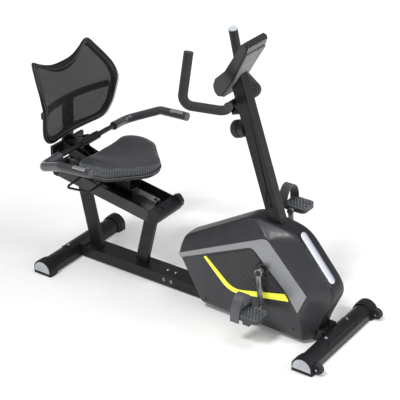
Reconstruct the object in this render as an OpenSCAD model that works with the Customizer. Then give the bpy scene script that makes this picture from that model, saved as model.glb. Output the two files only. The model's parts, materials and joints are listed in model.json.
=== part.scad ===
// Recumbent exercise bike, built from its separate pieces.
// +X points the way the rider faces, +Z is up, and the floor is z = 0.
// The origin is on the floor, midway between the two stabilizers.

/* [Base] */
// Distance between the centre lines of the two stabilizers
stab_span = 1320; // [1318:1:1322]
// Length of each stabilizer, across the machine
stab_len = 540; // [520:5:600]
// Width of a stabilizer tube, front to back
stab_w = 80; // [76:1:84]
// Height of the top of a stabilizer tube above the floor
stab_top = 61; // [60:0.5:62]
// Width of the main beam, across the machine
beam_w = 92; // [88:1:94]
// Height of the main beam's top face above the floor
beam_top = 58; // [56:0.5:58]
// Height of the main beam's section
beam_h = 50; // [46:1:50]
// Wall thickness of the main beam
beam_wall = 3; // [2:0.5:4]

/* [Seat rail] */
// Slope of the seat rail, down towards the front, in degrees
rail_tilt = 9.37; // [9.2:0.01:9.6]
// Width of the seat rail
rail_w = 32; // [30:1:34]
// Half width of the plastic trough round the rail
cover_half = 88; // [86:1:92]
// Depth of the trough
cover_deep = 55; // [54:1:56]

/* [Seat] */
// Thickness of the cushion
seat_thick = 56; // [50:1:64]
// Height of the underside of the cushion above the floor
seat_z = 510; // [506:1:514]
// Outside diameter of every foam grip
grip_d = 38; // [36:0.5:39]
// Outside diameter of the handle tubes
tube_d = 22; // [22:1:24]

/* [Backrest] */
// How far the middle of the backrest lies behind its wings
back_dish = 55; // [40:1:60]
// Width of the backrest's edge frame
back_rim = 27; // [22:1:30]

/* [Drive] */
// Distance from the crank axis to a pedal axis
crank_len = 160; // [150:1:165]
// Angle of the right crank arm in front of straight down, in degrees
crank_rest = 5.4; // [0:0.1:8]
// Radius of the drive pulley on the crank
pulley_r = 105; // [95:1:108]
// Radius of the small pulley on the flywheel
small_r = 18; // [15:1:20]
// Radius of the flywheel
flywheel_r = 110; // [100:1:110]
// Radius of the belt's idler wheel
idler_r = 15; // [14:0.5:16]
// Gap between a shaft and the hole that it turns in
run_gap = 0.05; // [0.02:0.01:0.1]

/* [Post and console] */
// Lean of the console post back towards the rider, in degrees
post_lean = 18.8; // [18.5:0.1:19.2]
// Section of the post along the machine
post_a = 60; // [58:1:60]
// Section of the post across the machine
post_b = 48; // [46:1:50]
// Half width of the console
console_half = 76; // [72:1:84]
// Radius of the tension knob
knob_r = 37; // [32:0.5:38]

/* [Hidden] */
$fn = 48;

rear_x = -stab_span / 2;
front_x = stab_span / 2;
beam_mid = beam_top - beam_h / 2;
beam_rear = rear_x + stab_w / 2 + 0.1;
beam_front = front_x - stab_w / 2;
splice_x = -90;
sleeve_in = 85;
cap_len = 50;
cap_w = 95;
cap_top = 69;
bolt_r = 4;
bolt_y = 84;
tube_r = tube_d / 2;
grip_r = grip_d / 2;

// The rail's own frame: s runs forward along the rail, n is normal to it.
// n = 0 is the top edge of the trough's walls.
rail_x0 = -430;
rail_z0 = 410.4;
rail_s0 = -274;
rail_s1 = 208;
cover_s1 = 222;
rail_top = 5;
sled_s0 = -130;
sled_s1 = 85;
pad_t = 3;
plate_y = 34;
plate_t = 4;

// The post's own frame: z runs up the post from where it leaves the housing.
post_x0 = 370;
post_z0 = 475;
post_top = 660;
post_wall = 2;
stub_top = 150;
stub_gap = 0.4;
knob_s = 391;
knob_out = 5;
screen_half = 58;
key_y = 36;
key_r = 9;
key_tilt = 57.2;

crank_x = 367;
crank_z = 289;
axle_r = 8;
arm_y = 124;
arm_t = 12;
fly_x = 118;
fly_z = 200;
fly_t = 24;
belt_y = 65;
belt_w = 14;
belt_t = 3;
belt_gap = 0.3;
idler_x = 252;
idler_z = 198.2;
brake_x = 240;
brake_z = 118;
pedal_y = 197;
pedal_half = 46;
strap_rise = 84;
spindle_r = 7;
wheel_x = front_x + 58;
wheel_z = 30;
wheel_r = 24;
wheel_y = 242;
back_plate_x = 704;

side_y = 95;
seam_y = 40;
shell_t = 3;
// Outline of the housing at the seam with the spine, from the rear tip over the top.
seam_outline = [[-60, 252], [-52, 287], [264, 472], [300, 480], [494, 456], [649, 271],
  [666, 223], [616, 105], [590, 19], [66, 31], [-40, 217]];
// Outline of the flat side of the housing.
side_outline = [[-46, 226], [-40, 236], [370, 437], [386, 434], [572, 231], [574, 205],
  [540, 120], [560, 19], [68, 33], [-36, 214]];

// Handlebar and seat bar, each as the corners of its centre line and the bend at each corner.
bar_path = [[46, -153, 1165], [50, -207, 970], [196, -120, 946], [158, -34, 936],
  [158, 34, 936], [196, 120, 946], [50, 207, 970], [46, 153, 1165]];
bar_bends = [0, 42, 38, 25, 25, 38, 42, 0];
seat_bar = [[-310, -337, 624], [-456, -341, 616], [-611, -293, 551], [-587.5, -110, 571],
  [-587.5, 110, 571], [-611, 293, 551], [-456, 341, 616], [-310, 337, 624]];
seat_bends = [0, 55, 50, 200, 200, 50, 55, 0];
lever_r = 5;
elbow_extra = 0.15;
grip_fit = 0.35;
lever_y = 40;
lever_n = 45;

function unit(v) = v / norm(v);
function turn(p, i) = acos(unit(p[i] - p[i - 1]) * unit(p[i + 1] - p[i]));
function lead(p, b, i) = b[i] == 0 ? 0 : b[i] * tan(turn(p, i) / 2);
function mix(a, b, t) = a + (b - a) * t;
function curve(a, b, c, d, t) = 0.5 * (2 * b + (c - a) * t + (2 * a - 5 * b + 4 * c - d) * t * t
  + (3 * b - a - 3 * c + d) * t * t * t);
function loop_curve(p, n) = [for (i = [0:len(p) - 1]) for (k = [0:n - 1])
  curve(p[(i + len(p) - 1) % len(p)], p[i], p[(i + 1) % len(p)], p[(i + 2) % len(p)], k / n)];

// Edge of the backrest as y and z, and how far forward its surface lies at a height.
half_edge = [[0, 904], [70, 909], [132, 931], [180, 953], [206, 918], [240, 846], [250, 778],
  [244, 711], [228, 648], [186, 603], [110, 589]];
back_edge = concat(half_edge, [[0, 586]], [for (i = [len(half_edge) - 1:-1:1])
  [-half_edge[i][0], half_edge[i][1]]]);
wing_line = [[560, -628], [600, -624], [648, -631], [714, -623], [780, -613], [840, -633],
  [908, -676], [960, -708]];
function back_x(y, z) = lookup(z, wing_line) - back_dish * (1 - pow(y / 245, 2));
// A rounded corner between a and b at p, starting c before it, as a list of points.
function corner(a, p, b, c) = let (q = p + c * unit(a - p), r = p + c * unit(b - p))
  [for (k = [0:8]) let (t = k / 8) q * (1 - t) * (1 - t) + p * 2 * t * (1 - t) + r * t * t];
function edge_mid(p, inset) = p - inset * unit(p - [0, 760]);

module both_sides() {
  children();
  mirror([0, 1, 0]) children();
}

module at_rail(s = 0, n = 0) {
  translate([rail_x0, 0, rail_z0]) rotate([0, rail_tilt, 0]) translate([s, 0, n]) children();
}

module at_key(y) {
  translate([162, y, 1092.2]) rotate([0, -key_tilt, 0]) children();
}

module at_post(z = 0, x = 0) {
  translate([post_x0, 0, post_z0]) rotate([0, -post_lean, 0]) translate([x, 0, z]) children();
}

// A solid drawn in the x-z plane and thickened from y0 to y1.
module slab(y0, y1) {
  translate([0, y1, 0]) rotate([90, 0, 0]) linear_extrude(y1 - y0) children();
}

module rod_y(x, z, r, y0, y1) {
  translate([x, y1, z]) rotate([90, 0, 0]) cylinder(r = r, h = y1 - y0);
}

// A straight round bar or tube between two points.
module straight(a, b, ro, ri) {
  d = unit(b - a);
  side = unit(abs(d[1]) > 0.9 ? cross(d, [1, 0, 0]) : cross(d, [0, 1, 0]));
  up = cross(d, side);
  multmatrix([[side[0], up[0], d[0], a[0]], [side[1], up[1], d[1], a[1]],
      [side[2], up[2], d[2], a[2]], [0, 0, 0, 1]])
    difference() {
      cylinder(r = ro, h = norm(b - a));
      if (ri > 0) translate([0, 0, -1]) cylinder(r = ri, h = norm(b - a) + 2);
    }
}

// A round elbow at corner i of a path.
module elbow(p, b, i, ro, ri) {
  d1 = unit(p[i] - p[i - 1]);
  d2 = unit(p[i + 1] - p[i]);
  n = unit(cross(d1, d2));
  out = -cross(n, d1);
  c = p[i] - d1 * lead(p, b, i) - out * b[i];
  multmatrix([[out[0], d1[0], n[0], c[0]], [out[1], d1[1], n[1], c[1]],
      [out[2], d1[2], n[2], c[2]], [0, 0, 0, 1]])
    rotate_extrude(angle = turn(p, i)) translate([b[i], 0]) difference() {
      circle(r = ro);
      if (ri > 0) circle(r = ri);
    }
}

// A bent bar along the corners of a path; b holds the bend radius at each corner.
// Each straight length runs 1 mm into its elbows, which are a little thicker.
module bent(p, b, ro, ri = 0) {
  last = len(p) - 1;
  for (i = [0:last - 1]) {
    d = unit(p[i + 1] - p[i]);
    t0 = i == 0 ? 0 : lead(p, b, i) - 1;
    t1 = i + 1 == last ? 0 : lead(p, b, i + 1) - 1;
    straight(p[i] + d * t0, p[i + 1] - d * t1, ro, ri);
  }
  for (i = [1:last - 1]) elbow(p, b, i, ro + elbow_extra, ri > 0 ? ri - elbow_extra : 0);
}

// A ring of sections joined into one closed band.
module closed_band(rings) {
  m = len(rings);
  s = len(rings[0]);
  polyhedron([for (r = rings) for (q = r) q], [for (i = [0:m - 1]) for (j = [0:s - 1])
    [i * s + j, i * s + (j + 1) % s, ((i + 1) % m) * s + (j + 1) % s, ((i + 1) % m) * s + j]]);
}

// Flat bottom and an arched top, centred on x = 0.
module arch(w, z0, shoulder, top) {
  rise_h = top - shoulder;
  r = (w * w / 4 + rise_h * rise_h) / (2 * rise_h);
  intersection() {
    translate([-w / 2, z0]) square([w, top - z0 + 1]);
    union() {
      translate([0, top - r]) circle(r = r, $fn = 96);
      translate([-w, z0 - 1]) square([2 * w, top - r - z0 + 1]);
    }
  }
}

module dome_bolt(len) {
  translate([0, 0, -len]) cylinder(r = bolt_r - 0.1, h = len + 1);
  cylinder(r = 9, h = 1.5);
  intersection() {
    translate([0, 0, 1.4]) cylinder(r = 7.5, h = 6);
    translate([0, 0, -1.5]) sphere(r = 9);
  }
  translate([0, 0, 2 - len]) cylinder(r = 6.5, h = 5, $fn = 6);
}

module stabilizer_tubes() {
  color("#2a2b2e")
    for (x = [rear_x, front_x]) difference() {
      translate([x, 0, 0]) slab(-stab_len / 2 + 4, stab_len / 2 - 4) difference() {
        arch(stab_w, 5, 34, stab_top);
        arch(stab_w - 4, 7, 34, stab_top - 2);
      }
      for (y = [-bolt_y, bolt_y]) translate([x, y, 40]) cylinder(r = bolt_r, h = 30);
      for (y = [-wheel_y, wheel_y]) rod_y(wheel_x, wheel_z, wheel_r + 2, y - 11, y + 11);
    }
}

module cap_body(x) {
  translate([x, 0, 0]) {
    slab(-stab_len / 2, 3 - stab_len / 2) arch(cap_w - 5, 0, 32, cap_top - 3);
    slab(3 - stab_len / 2, 34 - stab_len / 2) arch(cap_w, 0, 33, cap_top);
    slab(34 - stab_len / 2, cap_len - stab_len / 2) arch(cap_w - 4, 0, 33, cap_top - 2);
  }
}

module cap_hollow(x) {
  translate([x, 0, 0]) slab(4 - stab_len / 2, 1 + cap_len - stab_len / 2)
    arch(stab_w + 0.4, 4.8, 34, stab_top + 0.2);
}

module rear_stabilizer_caps() {
  color("#3a3c40")
    both_sides() difference() {
      cap_body(rear_x);
      cap_hollow(rear_x);
    }
}

module front_stabilizer_caps() {
  color("#3a3c40")
    both_sides() difference() {
      union() {
        cap_body(front_x);
        for (y = [-wheel_y - 16, -wheel_y + 11]) {
          slab(y, y + 5) hull() {
            translate([wheel_x, wheel_z]) circle(r = 9);
            translate([front_x + 38, 12]) square([2, 38]);
          }
        }
      }
      cap_hollow(front_x);
      rod_y(wheel_x, wheel_z, 4, -wheel_y - 20, -wheel_y + 20);
      rod_y(wheel_x, wheel_z, wheel_r + 2, -wheel_y - 11, -wheel_y + 11);
    }
}

module wheel_axles() {
  color("silver")
    both_sides() rod_y(wheel_x, wheel_z, 4 - run_gap, -wheel_y - 17, -wheel_y + 17);
}

module transport_wheel() {
  rotate([90, 0, 0]) rotate_extrude($fn = 64) difference() {
    union() {
      translate([4, -10]) square([wheel_r - 7, 20]);
      translate([wheel_r - 4, -7]) square([4, 14]);
      translate([wheel_r - 4, 7]) circle(r = 3);
      translate([wheel_r - 4, -7]) circle(r = 3);
    }
  }
}

module transport_wheel_right() {
  color("#1c1c1e") translate([wheel_x, -wheel_y, wheel_z]) transport_wheel();
}

module transport_wheel_left() {
  color("#1c1c1e") translate([wheel_x, wheel_y, wheel_z]) transport_wheel();
}

module frame_bolts() {
  color("#b8bcc2") {
    for (x = [rear_x, front_x], y = [-bolt_y, bolt_y])
      translate([x, y, stab_top + 3]) dome_bolt(20);
    for (x = [-171, -129]) translate([x, -5, beam_top]) dome_bolt(14);
    for (x = [-164, -125]) translate([x, -beam_w / 2, 36]) rotate([90, 0, 0]) dome_bolt(14);
    for (z = [68, 122]) {
      at_post(z) translate([0, -post_b / 2, 0]) rotate([90, 0, 0]) dome_bolt(14);
      at_post(z) translate([0, post_b / 2, 0]) rotate([-90, 0, 0]) dome_bolt(14);
    }
    at_rail(rail_s1 - 10, rail_top) dome_bolt(14);
    at_rail(rail_s0 + 10, rail_top) dome_bolt(14);
  }
}

module box_tube(x0, x1, w, h, t, z_mid) {
  difference() {
    translate([x0, -w / 2, z_mid - h / 2]) cube([x1 - x0, w, h]);
    translate([x0 - 1, t - w / 2, z_mid - h / 2 + t]) cube([x1 - x0 + 2, w - 2 * t, h - 2 * t]);
  }
}

// A box section upright between two points of the x-z plane.
module upright(a, b, w, t) {
  d = b - a;
  lean = atan2(d[0], d[1]);
  translate([a[0], 0, a[1]]) rotate([0, lean, 0]) difference() {
    translate([-w / 2, -t / 2, -30]) cube([w, t, norm(d) + 60]);
    translate([2 - w / 2, 2 - t / 2, -31]) cube([w - 4, t - 4, norm(d) + 62]);
  }
}

// The plate that hugs the top of a stabilizer tube.
module saddle() {
  rise_h = stab_top - 34;
  r = (stab_w * stab_w / 4 + rise_h * rise_h) / (2 * rise_h);
  slab(-100, 100) intersection() {
    translate([0, stab_top - r]) difference() {
      circle(r = r + 3, $fn = 96);
      circle(r = r + 0.1, $fn = 96);
    }
    translate([-30, stab_top - 20]) square([60, 30]);
  }
}

module rear_frame() {
  color("#2a2b2e") {
    difference() {
      union() {
        box_tube(beam_rear, splice_x, beam_w, beam_h, beam_wall, beam_mid);
        translate([rear_x, 0, 0]) saddle();
        translate([rear_x + 26, -beam_w / 2, 54]) cube([34, beam_w, 10]);
      }
      for (y = [-bolt_y, bolt_y]) translate([rear_x, y, 50]) cylinder(r = bolt_r, h = 30);
      for (x = [-171, -129]) translate([x, -5, 40]) cylinder(r = bolt_r, h = 30);
      for (x = [-164, -125]) rod_y(x, 36, bolt_r, -60, -30);
    }
    difference() {
      union() {
        upright([-560.5, 60], [-630.5, 380], 62, 20);
        upright([-305.7, 90], [-249.2, 330], 58, 20);
      }
      at_rail(-400, -cover_deep) translate([0, -50, 0]) cube([800, 100, 200]);
      translate([-700, -50, beam_top - 200]) cube([600, 100, 200]);
    }
    intersection() {
      union() {
        at_rail(-238, -cover_deep - 4) translate([0, -30, 0]) cube([90, 60, 4]);
        at_rail(140, -cover_deep - 4) translate([0, -30, 0]) cube([90, 60, 4]);
      }
      at_rail(-400, -cover_deep - 50) translate([0, -50, 0]) cube([800, 100, 50]);
    }
  }
}

module front_frame() {
  color("#2a2b2e") {
    difference() {
      union() {
        box_tube(splice_x + 1, beam_front, beam_w, beam_h, beam_wall, beam_mid);
        box_tube(splice_x - 100, splice_x + 40, sleeve_in, beam_h - 6.4, 3, beam_mid);
        box_tube(splice_x + 5, splice_x + 36, beam_w - 4, beam_h - 4, 5, beam_mid);
        translate([front_x, 0, 0]) saddle();
        translate([front_x - 60, -beam_w / 2, 54]) cube([34, beam_w, 10]);
      }
      for (y = [-bolt_y, bolt_y]) translate([front_x, y, 50]) cylinder(r = bolt_r, h = 30);
      for (x = [-171, -129]) translate([x, -5, 40]) cylinder(r = bolt_r, h = 30);
      for (x = [-164, -125]) rod_y(x, 36, bolt_r, -60, -30);
    }
    difference() {
      at_post(-460) translate([2 + stub_gap - post_a / 2, 2 + stub_gap - post_b / 2, 0])
        cube([post_a - 4 - 2 * stub_gap, post_b - 4 - 2 * stub_gap, 460 + stub_top]);
      at_post(-461) translate([5 - post_a / 2, 5 - post_b / 2, 0])
        cube([post_a - 10, post_b - 10, 463 + stub_top]);
      translate([400, -60, beam_top - 200]) cube([300, 120, 200]);
      at_post(-115, -post_a) translate([0, -8, 0]) cube([50, 16, 90]);
      for (z = [68, 122]) at_post(z) rotate([90, 0, 0]) cylinder(r = bolt_r, h = 60, center = true);
    }
    difference() {
      union() {
        rod_y(crank_x, crank_z, 22, -34, 34);
        for (y = [-22, 18]) slab(y, y + 4) polygon([[crank_x, crank_z - 20],
          [crank_x, crank_z + 20], [crank_x + 40, crank_z + 40], [crank_x + 60, crank_z - 45]]);
      }
      rod_y(crank_x, crank_z, 17.5, -40, 40);
      at_post(-300) translate([5 - post_a / 2, 5 - post_b / 2, 0])
        cube([post_a - 10, post_b - 10, 300]);
    }
    difference() {
      union() {
        translate([fly_x - 30, -82, beam_top]) cube([60, 128, 4]);
        for (y = [-82, 24]) slab(y, y + 4) polygon([[fly_x - 30, beam_top],
          [fly_x + 30, beam_top], [fly_x + 16, fly_z + 16], [fly_x - 16, fly_z + 16]]);
      }
      rod_y(fly_x, fly_z, axle_r, -90, 90);
    }
    difference() {
      slab(24, 28) polygon([[brake_x - 18, beam_top - 1], [brake_x + 18, beam_top - 1],
        [brake_x + 10, brake_z + 10], [brake_x - 10, brake_z + 10]]);
      rod_y(brake_x, brake_z, 5, 20, 30);
    }
    rod_y(brake_x, brake_z, 5 - run_gap, -12, 28);
    rod_y(brake_x, brake_z, 8, 21, 24.1);
    slab(-82, -78) polygon([[idler_x - 12, beam_top], [idler_x + 10, beam_top],
      [idler_x + 6, idler_z + 7], [idler_x - 6, idler_z + 7]]);
    translate([idler_x - 16, -82, beam_top]) cube([30, 60, 4]);
    rod_y(idler_x, idler_z, 5 - run_gap, -80, -56);
  }
}

module seat_rail() {
  color("#c9ccd1")
    at_rail() difference() {
      translate([rail_s0, -rail_w / 2, -cover_deep + 3])
        cube([rail_s1 - rail_s0, rail_w, cover_deep - 3 + rail_top]);
      translate([rail_s0 - 1, 3 - rail_w / 2, 6 - cover_deep])
        cube([rail_s1 - rail_s0 + 2, rail_w - 6, cover_deep + rail_top - 9]);
      for (i = [-4:4]) translate([i * 30 - 20, 0, 0]) cylinder(r = 5.5, h = 20);
      for (s = [rail_s0 + 10, rail_s1 - 10]) translate([s, 0, 0]) cylinder(r = bolt_r, h = 20);
    }
}

module rail_cover() {
  color("#36383c")
    at_rail() difference() {
      translate([rail_s0 + 10, -cover_half, -cover_deep])
        cube([cover_s1 - rail_s0 - 10, 2 * cover_half, cover_deep]);
      translate([rail_s0, 3 - cover_half, 3 - cover_deep])
        cube([500, 2 * cover_half - 6, cover_deep]);
    }
}

module rail_end_caps() {
  cap_s1 = 284;
  color("#3f4247") at_rail() {
    difference() {
      union() {
        slab(-cover_half - 2, cover_half + 2) hull() {
          translate([cover_s1 + 0.5, -cover_deep - 2]) square([1, cover_deep]);
          translate([cover_s1 + 26, 20 - cover_deep]) circle(r = 24);
          translate([cap_s1 - 12, -14]) circle(r = 12);
        }
        both_sides() slab(-cover_half - 2, -cover_half + 22) hull() {
          translate([cover_s1 + 18, 4]) circle(r = 10);
          translate([cover_s1 + 34, 10]) circle(r = 14);
          translate([cap_s1 - 12, -2]) circle(r = 12);
        }
      }
      translate([cover_s1 - 5, -60, -cover_deep - 40]) cube([22, 120, 40]);
    }
    for (y = [-48, -20, 20, 48]) translate([cover_s1 + 6, y - 1.5, -4]) cube([42, 3, 5]);
    difference() {
      slab(-cover_half - 2, cover_half + 2) hull() {
        translate([rail_s0 + 8, -cover_deep - 2]) square([1.5, cover_deep + 4]);
        translate([rail_s0 - 4, 12 - cover_deep]) circle(r = 14);
        translate([rail_s0 - 10, -10]) circle(r = 10);
      }
      translate([rail_s0 - 0.2, -rail_w / 2 - 0.2, -cover_deep - 10]) cube([30, rail_w + 0.4, 80]);
    }
  }
}

module shell_half() {
  difference() {
    hull() {
      slab(-side_y, 0.5 - side_y) polygon(side_outline);
      slab(-seam_y - 0.5, -seam_y) polygon(seam_outline);
    }
    hull() {
      slab(shell_t - side_y, shell_t + 0.5 - side_y) offset(delta = -shell_t) polygon(side_outline);
      slab(-seam_y - 0.5, -seam_y + 0.5) offset(delta = -shell_t) polygon(seam_outline);
    }
    translate([30, 6 - side_y, -10]) cube([500, 100, 60]);
    translate([-100, -beam_w / 2 - 1, -10]) cube([800, beam_w + 2, beam_top + 11.5]);
    translate([585, -102, -10]) cube([215, 204, stab_top + 14.5]);
    rod_y(crank_x, crank_z, 27, -120, 0);
  }
}

module housing_right() {
  color("#404247") shell_half();
}

module housing_left() {
  color("#404247") mirror([0, 1, 0]) shell_half();
}

module housing_spine() {
  color("#34363a")
    difference() {
      slab(0.2 - seam_y, seam_y - 0.2) difference() {
        polygon(seam_outline);
        offset(delta = -shell_t) polygon(seam_outline);
      }
      translate([-100, -60, -10]) cube([800, 120, beam_top + 11.5]);
      translate([560, -60, -10]) cube([240, 120, stab_top + 14.5]);
      at_post(-40) translate([-post_a / 2 - 0.6, -post_b / 2 - 0.6, 0])
        cube([post_a + 1.2, post_b + 1.2, 100]);
    }
}

module front_trim_strip() {
  a = [503, 445];
  b = [643, 279];
  d = unit(b - a);
  n = [-d[1], d[0]];
  color("#d5d7dc")
    hull() for (y = [-20, 20], p = [a + d * 8, b - d * 8])
      multmatrix([[n[0], d[0], 0, p[0] + n[0] * 1.2], [0, 0, 1, y], [n[1], d[1], 0, p[1] + n[1] * 1.2],
          [0, 0, 0, 1]]) rotate([0, 90, 0]) cylinder(r = 8, h = 3, $fn = 32);
}

module side_trims() {
  color("#a9acb2")
    both_sides() slab(-side_y - 4, -side_y - 0.1) polygon(concat([[-50, 231], [-38, 213]],
      corner([-38, 213], [312, 374], [474, 222], 24), [[474, 222], [533, 140]],
      corner([533, 140], [572, 231], [378, 436], 5), corner([572, 231], [378, 436], [-50, 231], 30)));
}

module side_panels() {
  color("#26272a")
    both_sides() slab(-side_y - 1.6, -side_y - 0.1) difference() {
      offset(r = 8) offset(delta = -8) polygon(concat([[92, 262], [312, 366]],
        [[470, 218]], corner([470, 218], [226, 150], [92, 262], 48)));
      translate([crank_x, crank_z]) circle(r = 30);
    }
}

module accent_stripes() {
  color("#e8ee1c")
    both_sides() slab(-side_y - 2, -side_y - 0.1) offset(r = 4) offset(delta = -4)
      polygon(concat([[76, 254], [90, 260]], corner([90, 260], [224, 146], [470, 208], 46),
        [[470, 208], [492, 180]], corner([492, 180], [208, 124], [76, 254], 58)));
}

module console_post() {
  color("#2b2d31")
    difference() {
      at_post(1.5) translate([-post_a / 2, -post_b / 2, 0]) cube([post_a, post_b, post_top]);
      at_post(0) translate([post_wall - post_a / 2, post_wall - post_b / 2, 0])
        cube([post_a - 2 * post_wall, post_b - 2 * post_wall, post_top + 10]);
      for (z = [68, 122]) at_post(z) rotate([90, 0, 0]) cylinder(r = bolt_r, h = 60, center = true);
      at_post(knob_s, -post_a) rotate([0, 90, 0]) cylinder(r = 6, h = 50);
      slab(-60, 60) polygon(post_cut);
    }
}

module handlebar() {
  color("#1f2022") bent(bar_path, bar_bends, tube_r, tube_r - 2);
}

module handlebar_grips() {
  path = [bar_path[0], bar_path[1], bar_path[2], mix(bar_path[2], bar_path[3], 0.63)];
  color("#2d2e31") both_sides() bent(path, bar_bends, grip_r, tube_r + grip_fit);
}

module handlebar_end_caps() {
  d = unit(bar_path[0] - bar_path[1]);
  color("#c3c7cc")
    both_sides() {
      straight(bar_path[0] + d * 0.1, bar_path[0] + d * 3, grip_r - 0.3, 0);
      straight(bar_path[0] + d * 3, bar_path[0] + d * 5, grip_r - 3, 0);
      straight(bar_path[0] - d * 15, bar_path[0] + d * 0.2, tube_r - 2.1, 0);
    }
}

module handlebar_clamp() {
  color("#1c1d1f")
    difference() {
      at_post(0, -post_a / 2 - 38) translate([0, -22, 455]) cube([37.8, 44, 46]);
      rod_y(158, 936, tube_r + 0.05, -40, 40);
    }
}

// Side profile of the console, and its outline seen from the front, which narrows downwards.
console_profile = [[106, 955.5], [89, 977.5], [85, 1004], [97, 1033], [145, 1077], [188, 1143],
  [225, 1206], [240, 1218], [254, 1214], [260, 1200], [252, 1175], [215, 1105.5],
  [182.5, 1041.5], [127, 962]];
console_front = [[-44, 950], [-console_half, 1175], [-console_half, 1230],
  [console_half, 1230], [console_half, 1175], [44, 950]];
// The post's top end is cut along this outline, well inside the console.
post_cut = [[60, 1036], [140, 1036], [232, 1108], [232, 1300], [60, 1300]];

// Cuts a console piece to the front outline, made smaller by an inset.
module to_front(inset) {
  intersection() {
    children();
    translate([50, 0, 0]) rotate([90, 0, 90]) linear_extrude(250)
      offset(delta = -inset) polygon(console_front);
  }
}

// A point u up the console's upper face from its lower edge, and v below its surface.
function face_at(u, v) = [188, 1143] + u * [0.506, 0.8625] + v * [0.8625, -0.506];

module console_case() {
  color("#242528")
    difference() {
      union() {
        to_front(8) slab(-console_half, console_half) polygon(console_profile);
        to_front(0) slab(-console_half, console_half) offset(delta = -5) polygon(console_profile);
      }
      slab(-screen_half - 0.5, screen_half + 0.5)
        polygon([face_at(4, -5), face_at(4, 2.5), face_at(64, 2.5), face_at(64, -5)]);
      for (y = [-key_y, 0, key_y]) at_key(y) cylinder(r = key_r, h = 20);
      difference() {
        at_post(480) translate([-post_a / 2 - 1, -post_b / 2 - 1, 0])
          cube([post_a + 2, post_b + 2, post_top - 480]);
        slab(-40, 40) translate([0, 2]) polygon(post_cut);
      }
    }
}

module console_back() {
  color("#9a9da2")
    difference() {
      to_front(8) slab(-console_half, console_half) polygon([[249, 1171], [212, 1105], [179, 1042],
        [124, 962], [130, 958.5], [186, 1039], [219, 1102.5], [254.5, 1168]]);
      slab(-console_half, console_half) offset(delta = 0.1) polygon(console_profile);
      at_post(400) translate([-post_a / 2 - 1, -post_b / 2 - 1, 0])
        cube([post_a + 2, post_b + 2, post_top - 400]);
    }
}

module console_display() {
  color("#20302c") slab(-screen_half, screen_half)
    polygon([face_at(4.5, 0.5), face_at(4.5, 2.4), face_at(63.5, 2.4), face_at(63.5, 0.5)]);
}

module key(y) {
  at_key(y) {
    translate([0, 0, 1.5]) cylinder(r = key_r - run_gap, h = 4);
    translate([0, 0, 5.4]) cylinder(r = key_r - 1, h = 1.2);
  }
}

module button_mode() {
  color("#c9ced4") key(-key_y);
}

module button_set() {
  color("#c9ced4") key(0);
}

module button_reset() {
  color("#d0483c") key(key_y);
}

module tension_base() {
  color("#1d1e20")
    at_post(knob_s, -post_a / 2) rotate([0, -90, 0]) translate([0, 0, 0.1]) difference() {
      cylinder(r = knob_r - 2, h = 20 + knob_out, $fn = 64);
      translate([0, 0, 10]) cylinder(r = 6, h = 40);
    }
}

module tension_knob() {
  color("#18191b")
    at_post(knob_s, -post_a / 2 - knob_out) rotate([0, -90, 0]) difference() {
      union() {
        translate([0, 0, 23]) cylinder(r = knob_r, h = 22, $fn = 64);
        translate([0, 0, 44.9]) cylinder(r1 = knob_r, r2 = knob_r - 5, h = 8, $fn = 64);
        translate([0, 0, 12]) cylinder(r = 6 - run_gap, h = 12);
      }
      for (i = [0:23]) rotate([0, 0, i * 15]) translate([knob_r + 1.2, 0, 20])
        cylinder(r = 2.5, h = 40, $fn = 16);
    }
}

module tension_cable() {
  path = [for (z = [knob_s - 25, -30]) [post_x0 - z * sin(post_lean), 0,
    post_z0 + z * cos(post_lean)]];
  color("#111111") bent(concat(path, [[310, 0, 350], [262, 0, 150]]), [0, 60, 40, 0], 2.5);
}

module crank_bearings() {
  color("#b5b8bd")
    both_sides() difference() {
      rod_y(crank_x, crank_z, 17.45, -33, -21);
      rod_y(crank_x, crank_z, axle_r + run_gap, -40, 0);
    }
}

module crank_axle() {
  color("#9fa2a7") rod_y(crank_x, crank_z, axle_r, -arm_y - arm_t, arm_y + arm_t);
}

// The right arm, drawn down from the crank axis.
module crank_arm() {
  difference() {
    union() {
      rod_y(0, 0, 17, -arm_y - arm_t, 12 - arm_y);
      rod_y(0, -crank_len, 15, -arm_y - arm_t, -arm_y);
      translate([-11, -arm_y - arm_t, -crank_len]) cube([22, arm_t - 2, crank_len]);
      translate([-6, -arm_y - arm_t - 1.5, -crank_len + 18]) cube([12, 2, crank_len - 38]);
    }
    rod_y(0, 0, axle_r + 0.02, -arm_y - 20, 0);
    rod_y(0, -crank_len, spindle_r + 0.02, -arm_y - 20, 0);
  }
}

module at_crank(a) {
  translate([crank_x, 0, crank_z]) rotate([0, -a, 0]) children();
}

module crank_arm_right() {
  color("#2b2c2f") at_crank(crank_rest) crank_arm();
}

module crank_arm_left() {
  color("#2b2c2f") at_crank(crank_rest + 180) mirror([0, 1, 0]) crank_arm();
}

module crank_caps() {
  color("#151617")
    both_sides() translate([crank_x, -arm_y - arm_t - 0.1, crank_z]) rotate([90, 0, 0]) {
      cylinder(r = 12, h = 3);
      translate([0, 0, 2.9]) cylinder(r1 = 11, r2 = 7, h = 3);
    }
}

module drive_pulley() {
  color("#2e2f33")
    translate([crank_x, -belt_y, crank_z]) rotate([90, 0, 0]) difference() {
      union() {
        cylinder(r = pulley_r, h = belt_w, center = true, $fn = 96);
        for (z = [-1, 1]) translate([0, 0, z * (belt_w / 2 + 1)])
          cylinder(r = pulley_r + 3, h = 2, center = true, $fn = 96);
        cylinder(r = 24, h = 26, center = true);
      }
      cylinder(r = axle_r + 0.02, h = 40, center = true);
      for (i = [0:5]) rotate([0, 0, i * 60]) translate([62, 0, 0]) cylinder(r = 24, h = 40, center = true);
    }
}

module belt_loop(grow) {
  hull() {
    translate([crank_x, crank_z]) circle(r = pulley_r + belt_gap + grow, $fn = 64);
    translate([fly_x, fly_z]) circle(r = small_r + belt_gap + grow, $fn = 64);
  }
}

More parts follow.
